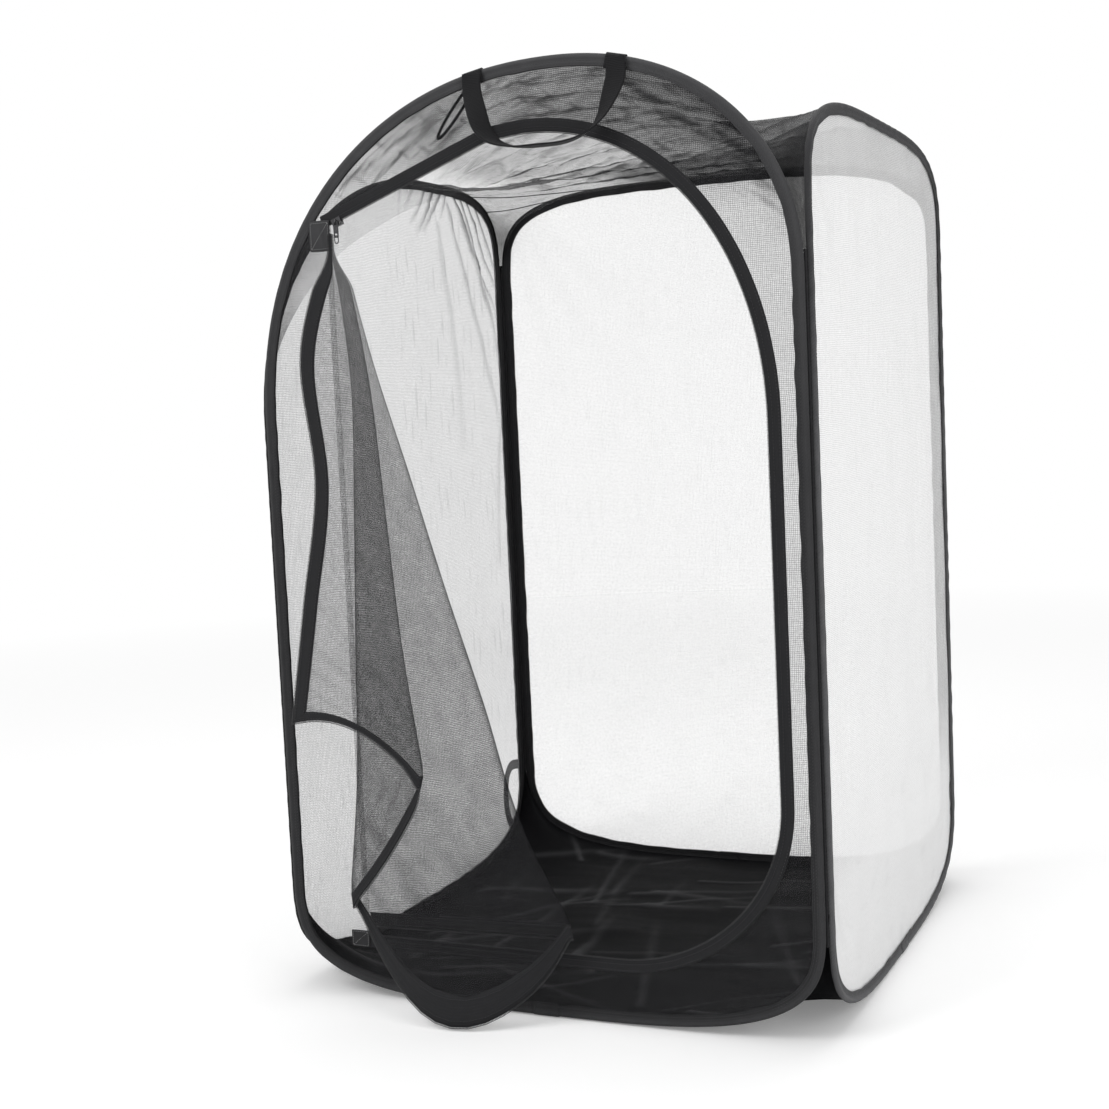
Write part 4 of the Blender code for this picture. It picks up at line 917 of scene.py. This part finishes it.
FLOOR_STEPS, FLOOR_HELD, FLOOR_CREASES = 170, 0.06, 46
FLOOR_CLOTH = 0.0009
ground_cloth = finer(saddle(hoop_edge("front", FOOT_POST, FOOT_POST, False),
                            hoop_edge("right", FOOT_POST, FOOT_POST, False),
                            hoop_edge("back", FOOT_POST, FOOT_POST, False),
                            hoop_edge("left", FOOT_POST, FOOT_POST, False), 0.0006, 0.0022), FLOOR_STEPS)
held = fade(from_rim(FLOOR_STEPS), 0, FLOOR_HELD) ** 0.8
x, y = ground_cloth[:, :, 0], ground_cloth[:, :, 1]
soft = ripples(x, y, 0.13, 1.1, 0.7, 80)
straight = np.zeros_like(x)
rng = np.random.default_rng(81)
for _ in range(FLOOR_CREASES):
    start = rng.uniform(-0.27, 0.27, 2)
    turn = rng.normal(0.25, 0.35) if rng.random() < 0.7 else rng.normal(1.5, 0.35)
    reach = rng.uniform(0.08, 0.30)
    end = start + reach * np.array([math.cos(turn), math.sin(turn)])
    straight += rng.uniform(0.3, 1.0) * crease(x, y, (start, end), rng.uniform(0.0030, 0.0065))
rise = held * (0.0016 * (soft + 1.6) + 0.0022 * np.clip(straight, 0, 1.5))
ground_cloth = lifted(ground_cloth, rise)
ground_cloth[:, :, 2] = np.maximum(ground_cloth[:, :, 2], FLOOR_CLOTH / 2)
floor = surface("floor_sheet", ground_cloth, flat_uv(ground_cloth), gather_and_shading=held * np.clip(straight, 0, 1.2))
thicken(floor, FLOOR_CLOTH)

taffeta = Finish("black_floor_cloth", Specular_IOR_Level=0.03)
place, across, along = taffeta.cloth_place()
weave = threads(across, 0.0007, 2).math("MAXIMUM", threads(along, 0.0009, 2))
rub = taffeta.cloud(place, 9.0, 5.0)
scuff = taffeta.cloud(taffeta.stretched(place, (6, 30, 1)), 2.0, 4.0)
# Painted highlight: the crests of the floor's creases are painted paler, as if they caught the light.
painted_crease_highlight = taffeta.stored("gather_and_shading")
dull = taffeta.mixed(rub * 0.5 + scuff * 0.5, (0.002, 0.002, 0.0025), (0.009, 0.009, 0.010))
taffeta.paint("Base Color", taffeta.mixed((painted_crease_highlight * 1.1).math("MINIMUM", 1.0) * rub, dull, (0.100, 0.100, 0.104)))
taffeta.paint("Roughness", scuff * 0.20 + 0.50)
taffeta.raised(weave * 0.5 + taffeta.cloud(place, 120.0, 4.0) * 0.8, 0.0004)
dress(floor, taffeta, "back")
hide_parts("floor_cloth")
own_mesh(floor)


# Zipper on the door opening: a woven nylon tape sewn to the net, with a coil of moulded loops along
# its inner edge. Its ends are tucked under square patches, and the door's sewn side has a narrow tape.
TAPE_OUT, TAPE_IN = 0.010, 0.0031
TAPE_LEVEL = 0.0043
ZIP_TAPE = 0.0008
COIL_IN = 0.0034
COIL_TURN, COIL_RADIUS, COIL_WIRE = 0.00150, 0.00080, 0.00036
STITCH_LIFT = 0.0002


def zip_finish():
    """Herringbone of a zipper tape, two rows of chevrons to the width."""
    made = Finish("zipper_tape", Sheen_Weight=0.05, Sheen_Roughness=0.5, Specular_IOR_Level=0.22)
    place, across, along = made.cloth_place()
    chevron = across.math("PINGPONG", 0.003) + along
    rib = threads(chevron, 0.0011, 2) * 0.7 + threads(across, 0.0015, 3) * 0.3
    fuzz = made.cloud(place, 90.0)
    made.paint("Base Color", made.mixed(fuzz * 0.6 + rib * 0.4, (0.004, 0.004, 0.005), (0.020, 0.020, 0.022)))
    made.paint("Roughness", fuzz * 0.2 + 0.58)
    made.raised(rib, 0.0002)
    return made


zipper = zip_finish()
nylon = Finish("nylon_coil", Coat_Weight=0.15)
place = nylon.solid_place()
cloud = nylon.cloud(place, 350.0)
nylon.paint("Base Color", nylon.mixed(cloud, (0.008, 0.008, 0.009), (0.024, 0.024, 0.026)))
nylon.paint("Roughness", cloud * 0.25 + 0.26)
nylon.raised(nylon.cloud(place, 1800.0), 0.00006)


def strip(name, line, inner, offsets, levels, finish, thickness):
    """A flat tape beside a line on the front: offsets run across it, inwards, levels out from the hinges."""
    x = line[:, :1] + inner[:, :1] * offsets
    z = line[:, 1:] + inner[:, 1:] * offsets
    lengths = np.linspace(0, spaced(line, 2)[1], len(line))
    piece = surface(name, on_wall("front", x, z, levels), grid_uv(offsets - offsets[0], lengths))
    thicken(piece, thickness)
    return dress(piece, finish, "front")


def coil(name, line, up, sides=4, turns=8):
    """The zipper's coil of round wire, wound about a line; up is the way that its loops stand."""
    line = np.asarray(line, float)
    count = int(spaced(line, 2)[1] / COIL_TURN) * turns
    path = spaced(line, count)[0]
    run = unit(np.gradient(path, axis=0))
    lift = np.broadcast_to(up, line.shape)
    source = np.linspace(0, 1, len(line))
    lift = np.stack([np.interp(np.linspace(0, 1, count), source, lift[:, k]) for k in range(3)], 1)
    lift = unit(lift - run * (lift * run).sum(1)[:, None])
    side = np.cross(run, lift)
    angle = np.arange(count) * 2 * math.pi / turns
    spoke = lift * np.cos(angle)[:, None] * 0.8 + side * np.sin(angle)[:, None]
    middle = path + spoke * COIL_RADIUS
    ring = np.linspace(0, 2 * math.pi, sides + 1)[:-1] + math.pi / sides
    points = middle[:, None, :] + COIL_WIRE * (spoke[:, None, :] * np.cos(ring)[None, :, None]
                                               + run[:, None, :] * np.sin(ring)[None, :, None])
    return surface(name, points, grid_uv(np.linspace(0, 0.002, sides + 1), np.arange(count) * COIL_TURN / turns),
                   around=True)


zip_inner = inwards(zip_line, closed=False)
END_TUCK = 0.009
tucked = np.vstack([zip_line[:1] + np.linspace([-END_TUCK, 0], [0, 0], 7)[:-1], zip_line,
                    zip_line[-1:] + np.linspace([0, 0], [-END_TUCK * 0.94, -END_TUCK * 0.34], 7)[1:]])
length = spaced(tucked, 2)[1]
along = np.linspace(0, length, len(tucked))
wave = 0.00030 * (wobble(along, 0.055, 90)[:, None] + 1.5)
across = np.linspace(-TAPE_OUT, TAPE_IN, 9)
lip = fade(-across, 0.003, 0.007)[None, :]
zip_tape = strip("zipper_tape", tucked, inwards(tucked, closed=False), across, TAPE_LEVEL + wave * lip, zipper,
                 ZIP_TAPE)
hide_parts("door_zip_tape")

coil_line = (zip_line + zip_inner * COIL_IN)[4:-4]
front_out = np.array([0.0, -1.0, 0.0])
teeth = coil("zipper_coil", on_wall("front", coil_line[:, 0], coil_line[:, 1], TAPE_LEVEL), front_out)
dress(teeth, nylon, "front")
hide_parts("door_zip_coil")

rows = []
for depth in (-0.0015, -0.0078):
    line = zip_line[6:-6] + zip_inner[6:-6] * depth
    rows.append(stitches("row", on_wall("front", line[:, 0], line[:, 1], TAPE_LEVEL + ZIP_TAPE / 2 + STITCH_LIFT),
                         front_out))
sewn = joined("zipper_stitches", rows)
dress(sewn, thread, "front")

SEAM_WIDTH = 0.005
seam_line = np.stack([np.full(180, DOOR_LEFT), np.linspace(DOOR_BOTTOM + 0.0026, DOOR_CORNER - 0.007, 180)], 1)
seam_inner = np.tile([[-1.0, 0.0]], (180, 1))
wave = 0.00012 * wobble(seam_line[:, 1], 0.05, 91)[:, None]
sheer_tape = net_finish("sheer_binding", (0.010, 0.010, 0.011), (0.022, 0.022, 0.024), 0.03, 0.12, 0.0)
side_tape = strip("door_side_tape", seam_line, seam_inner, np.linspace(0.0002, SEAM_WIDTH, 5), TAPE_LEVEL + wave,
                  sheer_tape, 0.0003)
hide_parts("door_seam_tape")


pale_thread = Finish("pale_sewing_thread", Roughness=0.55)
fleck = pale_thread.cloud(pale_thread.solid_place(), 900.0)
pale_thread.paint("Base Color", pale_thread.mixed(fleck, (0.10, 0.10, 0.10), (0.55, 0.55, 0.55)))


def rotated(x, z, angle):
    """Places turned anticlockwise about the origin."""
    return x * math.cos(angle) - z * math.sin(angle), x * math.sin(angle) + z * math.cos(angle)


def sewn_box(name, low, high, out, length, finish, centre=(0.0, 0.0), angle=0.0):
    """A box of stitches with a diagonal, between two corners that are turned about a centre."""
    box = np.array([low, (high[0], low[1]), high, (low[0], high[1]), low, high])
    rows = []
    for a, b in zip(box, box[1:]):
        x, z = rotated(*np.linspace(a, b, 12).T, angle)
        rows.append(stitches("row", on_wall("front", centre[0] + x, centre[1] + z, out), front_out, 0.0024, length))
    dress(joined(name + "_stitches", rows), finish, "front")


PATCH_CLOTH = 0.0007
PATCH_LEVEL = 0.0056
PATCH_SEWN = 0.84


def patch(name, low, high, node):
    """A square of doubled tape, folded under at its edges and sewn down round its border and across."""
    middle = ((low[0] + high[0]) / 2, (low[1] + high[1]) / 2)
    half = ((high[0] - low[0]) / 2, (high[1] - low[1]) / 2)
    bpy.ops.object.select_all(action="DESELECT")
    bpy.ops.mesh.primitive_grid_add(x_subdivisions=14, y_subdivisions=14, size=2)
    piece = bpy.context.object
    piece.name = name
    for vertex in piece.data.vertices:
        u, v = vertex.co.x, vertex.co.y
        rim = max(abs(u), abs(v))
        puff = 0.00035 * math.cos(u * 2.2) * math.cos(v * 2.2) + (0.00022 if 0.75 < rim < 0.95 else 0.0)
        pucker = 0.0003 * math.sin(9 * u + 3 * v) * (1 - rim)
        vertex.co = on_wall("front", middle[0] + u * half[0] * (1 - 0.03 * v * v),
                            middle[1] + v * half[1] * (1 - 0.03 * u * u), PATCH_LEVEL + puff + pucker)
    for loop, corner in zip(piece.data.uv_layers.active.data, piece.data.loops):
        spot = piece.data.vertices[corner.vertex_index].co
        loop.uv = (spot.x, spot.z)
    thicken(piece, PATCH_CLOTH)
    piece.data.shade_smooth()
    dress(piece, front_tape, "front")
    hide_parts(node)
    inner_low, inner_high = ([middle[k] + way * half[k] * PATCH_SEWN for k in (0, 1)] for way in (-1, 1))
    sewn_box(name, inner_low, inner_high, PATCH_LEVEL + 0.0006, 0.0017, pale_thread)


patch_right = DOOR_LEFT - 0.0003
patch_top = DOOR_CORNER - 0.002
patch_foot = DOOR_BOTTOM - TAPE_OUT
patch("zipper_top_patch", (patch_right - 0.0245, patch_top - 0.0275), (patch_right, patch_top + 0.0045),
      "zip_top_patch")
patch("zipper_foot_patch", (patch_right - 0.022, patch_foot), (patch_right, patch_foot + 0.018), "zip_foot_patch")


# Door flap: the cut-out of the front net, sewn on at its left edge and unzipped, so that it hangs from
# its top corner in four layers of net, with the other half of the zipper along its free edges.
SEAM_OUT = 0.0054
FLAP_TOP = 0.795
FLAP_TAPE = 0.015
FLAP_SPREAD, FLAP_TURN = 0.0020, 0.0035
FLAP_POWER = 10
SEAM_LAP = 0.0085
FLAP_DROPS = (0.0, 0.098, 0.010, -0.026)
FLAP_FLARES = (0.0, 0.036, 0.0, 0.0)
WIDTH = 0.610
# Folds from the sewn edge to the free edge: across from the seam as a share of the width, up as a share
# of the flap's top, and out from the hinges.
FLAP_FOLDS = (
    ((-0.010, 1.0, SEAM_OUT), (-0.010, 0.54, SEAM_OUT), (-0.010, 0.098, SEAM_OUT)),
    ((0.029, 1.0, 0.011), (0.077, 0.853, 0.012), (0.138, 0.704, 0.014), (0.195, 0.560, 0.016),
     (0.259, 0.409, 0.018), (0.318, 0.258, 0.020), (0.416, 0.113, 0.022)),
    ((0.013, 1.0, 0.015), (0.036, 0.830, 0.018), (0.031, 0.660, 0.021), (0.025, 0.491, 0.027),
     (0.022, 0.314, 0.036), (0.007, 0.142, 0.050)),
    ((0.036, 1.0, 0.019), (0.077, 0.830, 0.023), (0.102, 0.654, 0.030), (0.129, 0.484, 0.040),
     (0.177, 0.309, 0.058)),
    ((0.002, 1.0, 0.023), (-0.049, 0.865, 0.028), (-0.028, 0.700, 0.034), (-0.057, 0.541, 0.042),
     (-0.084, 0.385, 0.052)),
)
LAYERS = len(FLAP_FOLDS) - 1
FLAP_ROWS, LAYER_STEPS = 150, 26
BUNCH_TOP, BUNCH_LENGTH = 0.800, 0.045
BUNCH_AT, BUNCH_OUT = -0.2028, 0.0064
ABOVE = -0.0185 / FLAP_TOP


def fold_line(points, t):
    """Points (across, up, out) of a fold on a smooth curve, t running from its top to its foot."""
    stations = np.array([(DOOR_LEFT + a * WIDTH, b * FLAP_TOP, c) for a, b, c in points])
    spot = np.asarray(t) * (len(stations) - 1)
    low = np.clip(spot.astype(int), 0, len(stations) - 2)
    f = (spot - low)[..., None]
    p1, p2 = stations[low], stations[low + 1]
    p0 = np.where((low > 0)[..., None], stations[np.maximum(low - 1, 0)], 2 * p1 - p2)
    p3 = np.where((low < len(stations) - 2)[..., None],
                  stations[np.minimum(low + 2, len(stations) - 1)], 2 * p2 - p1)
    return smooth(p0, p1, p2, p3, f)


def layer_share(layer, t, length, most):
    """A length as a share of one layer's width."""
    t = np.maximum(t, 0.0)
    width = np.linalg.norm(fold_line(FLAP_FOLDS[layer + 1], t) - fold_line(FLAP_FOLDS[layer], t), axis=-1)
    return np.minimum(most, length / width)


def drawn_in(points):
    """Bunch the top of the flap towards the corner where the zipper starts."""
    loose = fade(-points[..., 1], -BUNCH_TOP, BUNCH_LENGTH)
    loose = 0.22 + 0.78 * loose * loose * (3 - 2 * loose)
    return np.stack([BUNCH_AT + (points[..., 0] - BUNCH_AT) * loose, points[..., 1],
                     BUNCH_OUT + (points[..., 2] - BUNCH_OUT) * (0.25 + 0.75 * loose)], -1)


def flap_point(s, t):
    """Places of the flap, s from the sewn edge to the free edge and t from top to foot."""
    s, above = np.broadcast_arrays(np.asarray(s, float), np.asarray(t, float))
    t = np.maximum(above, 0.0)
    result = np.zeros(s.shape + (3,))
    index = np.minimum((s * LAYERS).astype(int), LAYERS - 1)
    for layer in range(LAYERS):
        chosen = index == layer
        if not chosen.any():
            continue
        f, row = s[chosen] * LAYERS - layer, t[chosen]
        near, far = fold_line(FLAP_FOLDS[layer], row), fold_line(FLAP_FOLDS[layer + 1], row)
        rim = layer_share(layer, row, FLAP_TURN, 0.3)
        first = near[:, 2] + FLAP_SPREAD * (1 if layer else 0)
        last = far[:, 2] - FLAP_SPREAD * (1 if layer < LAYERS - 1 else 0)
        g = np.clip((f - rim) / (1 - 2 * rim), 0, 1)
        enter, leave = np.clip(f / rim, 0, 1), np.clip((1 - f) / rim, 0, 1)
        point = near + (far - near) * f[:, None]
        point[:, 1] = near[:, 1] + (far[:, 1] - near[:, 1]) * g
        level = first + (last - first) * g
        level = near[:, 2] + (level - near[:, 2]) * np.sin(enter * math.pi / 2)
        point[:, 2] = far[:, 2] + (level - far[:, 2]) * np.sin(leave * math.pi / 2)
        belly = 4 * g * (1 - g)
        point[:, 1] -= FLAP_DROPS[layer] * belly * row ** FLAP_POWER
        point[:, 2] += FLAP_FLARES[layer] * belly ** 2 * row ** FLAP_POWER
        for fold, way in ((1, -0.007), (2, 0.004), (3, -0.007)):
            near_fold = np.exp(-((s[chosen] * LAYERS - fold) / 0.10) ** 2)
            point[:, 0] += way * near_fold * fade(row, 0.955, 0.045) ** 2
        result[chosen] = point
    result[..., 1] -= np.minimum(above, 0.0) * FLAP_TOP
    return drawn_in(result)


def flap_stops():
    """Even steps over each layer, closer together at its folds."""
    step = np.linspace(0, 1, LAYER_STEPS + 1)[:-1]
    eased_step = step - np.sin(2 * math.pi * step) / (2 * math.pi) * 0.85
    return np.append(np.concatenate([(layer + eased_step) / LAYERS for layer in range(LAYERS)]), 1.0)


def cloth_share(s, t):
    """Draw the last layer in, to leave room for the tape on its free edge."""
    last = 1 - 1 / LAYERS
    tape = layer_share(LAYERS - 1, t, FLAP_TAPE, 0.45) / LAYERS
    return np.where(s <= last, s, last + (s - last) * (1 - tape / (1 - last)))


def hung(points):
    """Places of the flap on the front wall."""
    return on_wall("front", points[..., 0], points[..., 1], points[..., 2])


def headed(ways):
    """Directions of the flap on the front wall."""
    return hung(ways) - hung(0 * ways)


foot_share = FLAP_TAPE / FLAP_TOP
rows = np.linspace(ABOVE, 1, FLAP_ROWS + 1)[:, None]
stops = flap_stops()[None, :]
t = rows * (1 - foot_share)
rows = np.maximum(rows, 0.0)
cloth = flap_point(cloth_share(stops, np.broadcast_to(t, (FLAP_ROWS + 1, stops.shape[1]))), t)
across, down = grid_lengths(cloth)
loose = np.clip(np.sin(stops * LAYERS * math.pi) ** 2, 0, 1) * rows ** 0.7
soft = ripples(across, down, 0.060, 0.2, 0.25, 100)
fine = ripples(across, down, 0.018, 0.1, 0.30, 101)
cloth[:, :, 2] += loose * (0.0011 * soft + 0.0006 * fine)
creases = np.abs(np.sin(stops * LAYERS * math.pi))
gather_and_shading = 0.95 * np.clip(stops * LAYERS * 2, 0, 1) * np.exp(-creases / 0.045)
lower = fade(rows, 0.72, 0.28)
gather_and_shading = gather_and_shading + 0.12 * np.clip(fine, 0, 1) + lower * 0.26 * np.clip(soft, 0, 1.5)
flap = surface("door_net", hung(cloth), np.stack([across, down], -1), gather_and_shading=np.clip(gather_and_shading, 0, 1))
dress(flap, black_net)
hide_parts("door_flap")


side_t = np.linspace(ABOVE, 1, 220)
tape_side = layer_share(LAYERS - 1, side_t, FLAP_TAPE, 0.45) / LAYERS
inner_side = flap_point(1 - tape_side, side_t * (1 - foot_share))
outer_side = flap_point(np.ones(len(side_t) - 1), side_t[:-1] * (1 - foot_share))
outer_side = np.vstack([outer_side, flap_point(np.ones(1), np.ones(1))])
lap = float(layer_share(0, np.ones(1), SEAM_LAP, 0.3)[0]) / LAYERS
back = np.concatenate([stops[0, stops[0] > lap][::-1][1:], [lap]])
back_s = cloth_share(back, np.ones(len(back)))
inner_line = np.vstack([inner_side, flap_point(back_s, np.full(len(back), 1 - foot_share))])
outer_line = np.vstack([outer_side, flap_point(back_s, np.ones(len(back)))])
way = unit(np.gradient(outer_line, axis=0))
sideways = outer_line - inner_line
square = unit(sideways - way * (sideways * way).sum(1)[:, None])
OVERLAP = 0.0016
lanes = np.linspace(0, 1, 6)[None, :, None]
near = inner_line - unit(sideways) * OVERLAP
hem = near[:, None, :] * (1 - lanes) + outer_line[:, None, :] * lanes
lengths = lengths_along(outer_line)
flap_tape = surface("door_zipper_tape", hung(hem), grid_uv(np.linspace(0, FLAP_TAPE, 6), lengths))
thicken(flap_tape, ZIP_TAPE)
dress(flap_tape, zipper)
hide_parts("flap_zip_tape")
rim = outer_line + square * 0.0009
lift = np.cross(way, square)
flap_coil = coil("door_zipper_coil", hung(rim), headed(lift))
dress(flap_coil, nylon)
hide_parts("flap_zip_coil")
rows = []
for part in (0.16, 0.82):
    line = near * (1 - part) + outer_line * part
    for out_way in (lift, -lift):
        rows.append(stitches("row", hung(line + out_way * (ZIP_TAPE / 2 + STITCH_LIFT)), headed(out_way)))
flap_rows = joined("door_zipper_stitches", rows)
dress(flap_rows, thread)

seam_at = on_wall("front", DOOR_LEFT - 0.006, 0.43, SEAM_OUT)
seam_end = on_wall("front", DOOR_LEFT + 0.006, 0.43, SEAM_OUT)
for piece in (flap, flap_tape, flap_coil, flap_rows):
    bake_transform(piece)


# Slider, bail, pull and ring: small die-cast zinc parts under dark paint, worn to bare metal on edges.
paint = Finish("painted_zinc", Metallic=0.6, Coat_Weight=0.2)
place = paint.solid_place()
bare = paint.cloud(place, 700.0, 5.0).math("GREATER_THAN", 0.66)
soft_cloud = paint.cloud(place, 260.0)
paint.paint("Base Color", paint.mixed(bare, paint.mixed(soft_cloud, (0.022, 0.022, 0.024), (0.060, 0.060, 0.064)),
                                      (0.34, 0.33, 0.31)))
paint.paint("Roughness", soft_cloud * 0.25 + 0.28)
paint.raised(soft_cloud, 0.00008)
for node in ("zip_slider", "slider_bail", "zip_pull", "pull_ring"):
    refinish(node, paint)


# Carry handle: a length of 20 mm webbing sewn over the hoop's tape at both ends, hanging in a loop that
# turns flat to the wall at its foot. Dense polyester webbing with a rib across it and bound edges.
WEB_WIDTH, WEB_THICK = 0.020, 0.0015
HANDLE_HALF = 0.0765
AXIS_DROP, AXIS_OUT = 0.002, 0.00875

webbing = Finish("black_webbing", Sheen_Weight=0.04, Sheen_Roughness=0.4, Specular_IOR_Level=0.18)
place, across, along = webbing.cloth_place()
rib = threads(along, 0.0016, 2) * 0.65 + threads(across, 0.0011, 2) * 0.35
fuzz = webbing.cloud(place, 120.0)
webbing.paint("Base Color", webbing.mixed(fuzz * 0.5 + rib * 0.5, (0.003, 0.003, 0.004), (0.014, 0.014, 0.015)))
webbing.paint("Roughness", fuzz * 0.2 + 0.60)
webbing.raised(rib, 0.0003)

front_outline = hoop_outline("front")
top = front_outline[front_outline[:, 1] > 0.6]
top = top[np.argsort(top[:, 0])]


def hoop_top(x):
    return float(np.interp(x, top[:, 0], top[:, 1]))


left_x, right_x = FRONT_APEX - HANDLE_HALF, FRONT_APEX + HANDLE_HALF
left_z, right_z = hoop_top(left_x), hoop_top(right_x)
axis_z = (left_z + right_z) / 2 - AXIS_DROP
lean = math.atan2(right_z - left_z, right_x - left_x)
strand = np.array([(-HANDLE_HALF, 0.0, 0.0), (-HANDLE_HALF, -0.018, 0.0), (-HANDLE_HALF + 0.006, -0.038, 0.004),
                   (-HANDLE_HALF + 0.014, -0.056, 0.008), (-HANDLE_HALF + 0.028, -0.070, 0.011),
                   (-HANDLE_HALF + 0.050, -0.077, 0.012), (0.0, -0.078, 0.012)])
strand = np.vstack([strand, strand[-2::-1] * [-1, 1, 1]])
twist = np.radians([0, 0, 22, 50, 74, 86, 90, 86, 74, 50, 22, 0, 0])


def curve_through(stations, steps):
    """A smooth curve through stations, with steps between each two."""
    stations = np.asarray(stations, float)
    if stations.ndim == 1:
        stations = stations[:, None]
    ghost = np.vstack([2 * stations[:1] - stations[1:2], stations, 2 * stations[-1:] - stations[-2:-1]])
    points = []
    for k in range(len(stations) - 1):
        points += [smooth(*ghost[k:k + 4], f) for f in np.arange(steps) / steps]
    return np.array(points + [stations[-1]])


spine = curve_through(strand, 10)
angle = curve_through(twist, 10)[:, 0]
run = unit(np.gradient(spine, axis=0))
run[0], run[-1] = (0, -1, 0), (0, 1, 0)
flat = unit(np.cross(run, [0, 0, 1]))
edge = flat * np.cos(angle)[:, None] + np.array([0, 0, 1]) * np.sin(angle)[:, None]
face = np.cross(run, edge)
lanes = np.linspace(-1, 1, 11)
bow = 0.00035 * (1 - lanes ** 2)
handle = (spine[:, None, :] + edge[:, None, :] * (lanes * WEB_WIDTH / 2)[None, :, None]
          + face[:, None, :] * bow[None, :, None])
turned_x, turned_z = rotated(handle[..., 0], handle[..., 1], lean)
lengths = lengths_along(spine)
handle_strap = surface("handle_strap", on_wall("front", (left_x + right_x) / 2 + turned_x, axis_z + turned_z,
                                              AXIS_OUT + handle[..., 2]),
                       grid_uv((lanes + 1) * WEB_WIDTH / 2, lengths))
thicken(handle_strap, WEB_THICK * 0.93)
dress(handle_strap, webbing, "handle")
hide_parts("carry_handle")

WRAP = 0.0012
reach = BULB + 0.0003 + WRAP / 2
bend = [(reach * math.sin(a), -BULB + reach * math.cos(a)) for a in np.radians(np.linspace(90, -90, 15))]
section = np.array([(reach, -0.014), (reach, -0.010), (reach, -0.006)] + bend + [(-reach, -0.0045)])
lanes = np.linspace(-WEB_WIDTH / 2, WEB_WIDTH / 2, 11)
for name, x in (("handle_end_left", left_x), ("handle_end_right", right_x)):
    z = hoop_top(x)
    slope = math.atan2(hoop_top(x + 0.005) - hoop_top(x - 0.005), 0.010)
    u, v = rotated(lanes[None, :], section[:, 1:], slope)
    wrap_piece = surface(name + "_wrap", on_wall("front", x + u, z + v, HOOP_OUT + section[:, :1]),
                         grid_uv(lanes + WEB_WIDTH / 2, lengths_along(section)))
    thicken(wrap_piece, WRAP)
    dress(wrap_piece, webbing, "front")
    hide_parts(name)
    sewn_box(name, (-0.0075, -0.0125), (0.0075, -0.0035), HOOP_OUT + reach + WRAP / 2 + 0.0001, 0.0018, thread,
             (x, z), slope)


# Loops: a flat elastic band outside the back left foot holds the folded cage together, and a thin one
# inside the front arch hangs it up. Both are sewn under the tape.
def band_loop(name, line, half, level, thickness, side, node, closed):
    """A band of webbing along a line on a wall, open or joined to a loop."""
    inner = inwards(line, closed)
    lanes = np.linspace(-half, half, 7)
    x = line[:, :1] + inner[:, :1] * lanes
    z = line[:, 1:] + inner[:, 1:] * lanes
    length = spaced(line, 2, closed)[1]
    lengths = np.linspace(0, length, len(line) + (1 if closed else 0))
    crown = 0.00012 * (1 - (lanes / half) ** 2)
    piece = surface(name, on_wall(side, x, z, level + crown[None, :] + 0 * x),
                    grid_uv(lanes + half, lengths), along=closed)
    thicken(piece, thickness)
    dress(piece, webbing, side)
    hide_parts(node)


STORAGE = [(0.007, 0.122), (0.029, 0.124), (0.043, 0.114), (0.049, 0.096), (0.050, 0.074), (0.044, 0.052),
           (0.031, 0.038), (0.011, 0.032)]
storage_line = curve_through([(from_back - HINGE, up) for from_back, up in STORAGE], 10)
band_loop("storage_band", storage_line, 0.0065, 0.0071, 0.0012, "left", "storage_loop", False)

HANG_AT, HANG_TILT = -0.031, math.radians(41)
HANG_LONG, HANG_WIDE = 0.034, 0.0045
tilt = np.array([math.sin(HANG_TILT), math.cos(HANG_TILT)])
lip = hoop_top(HANG_AT) - 2 * BULB - 0.0003
middle = np.array([HANG_AT, lip - 0.0025]) - tilt * HANG_LONG
angle = -np.linspace(0, 2 * math.pi, 73)[:-1]
loop_line = (middle + tilt * HANG_LONG * np.cos(angle)[:, None]
             + np.array([tilt[1], -tilt[0]]) * HANG_WIDE * np.sin(angle)[:, None])
band_loop("hanging_band", loop_line, 0.0014, 0.0008, 0.0012, "front", "hanging_loop", True)
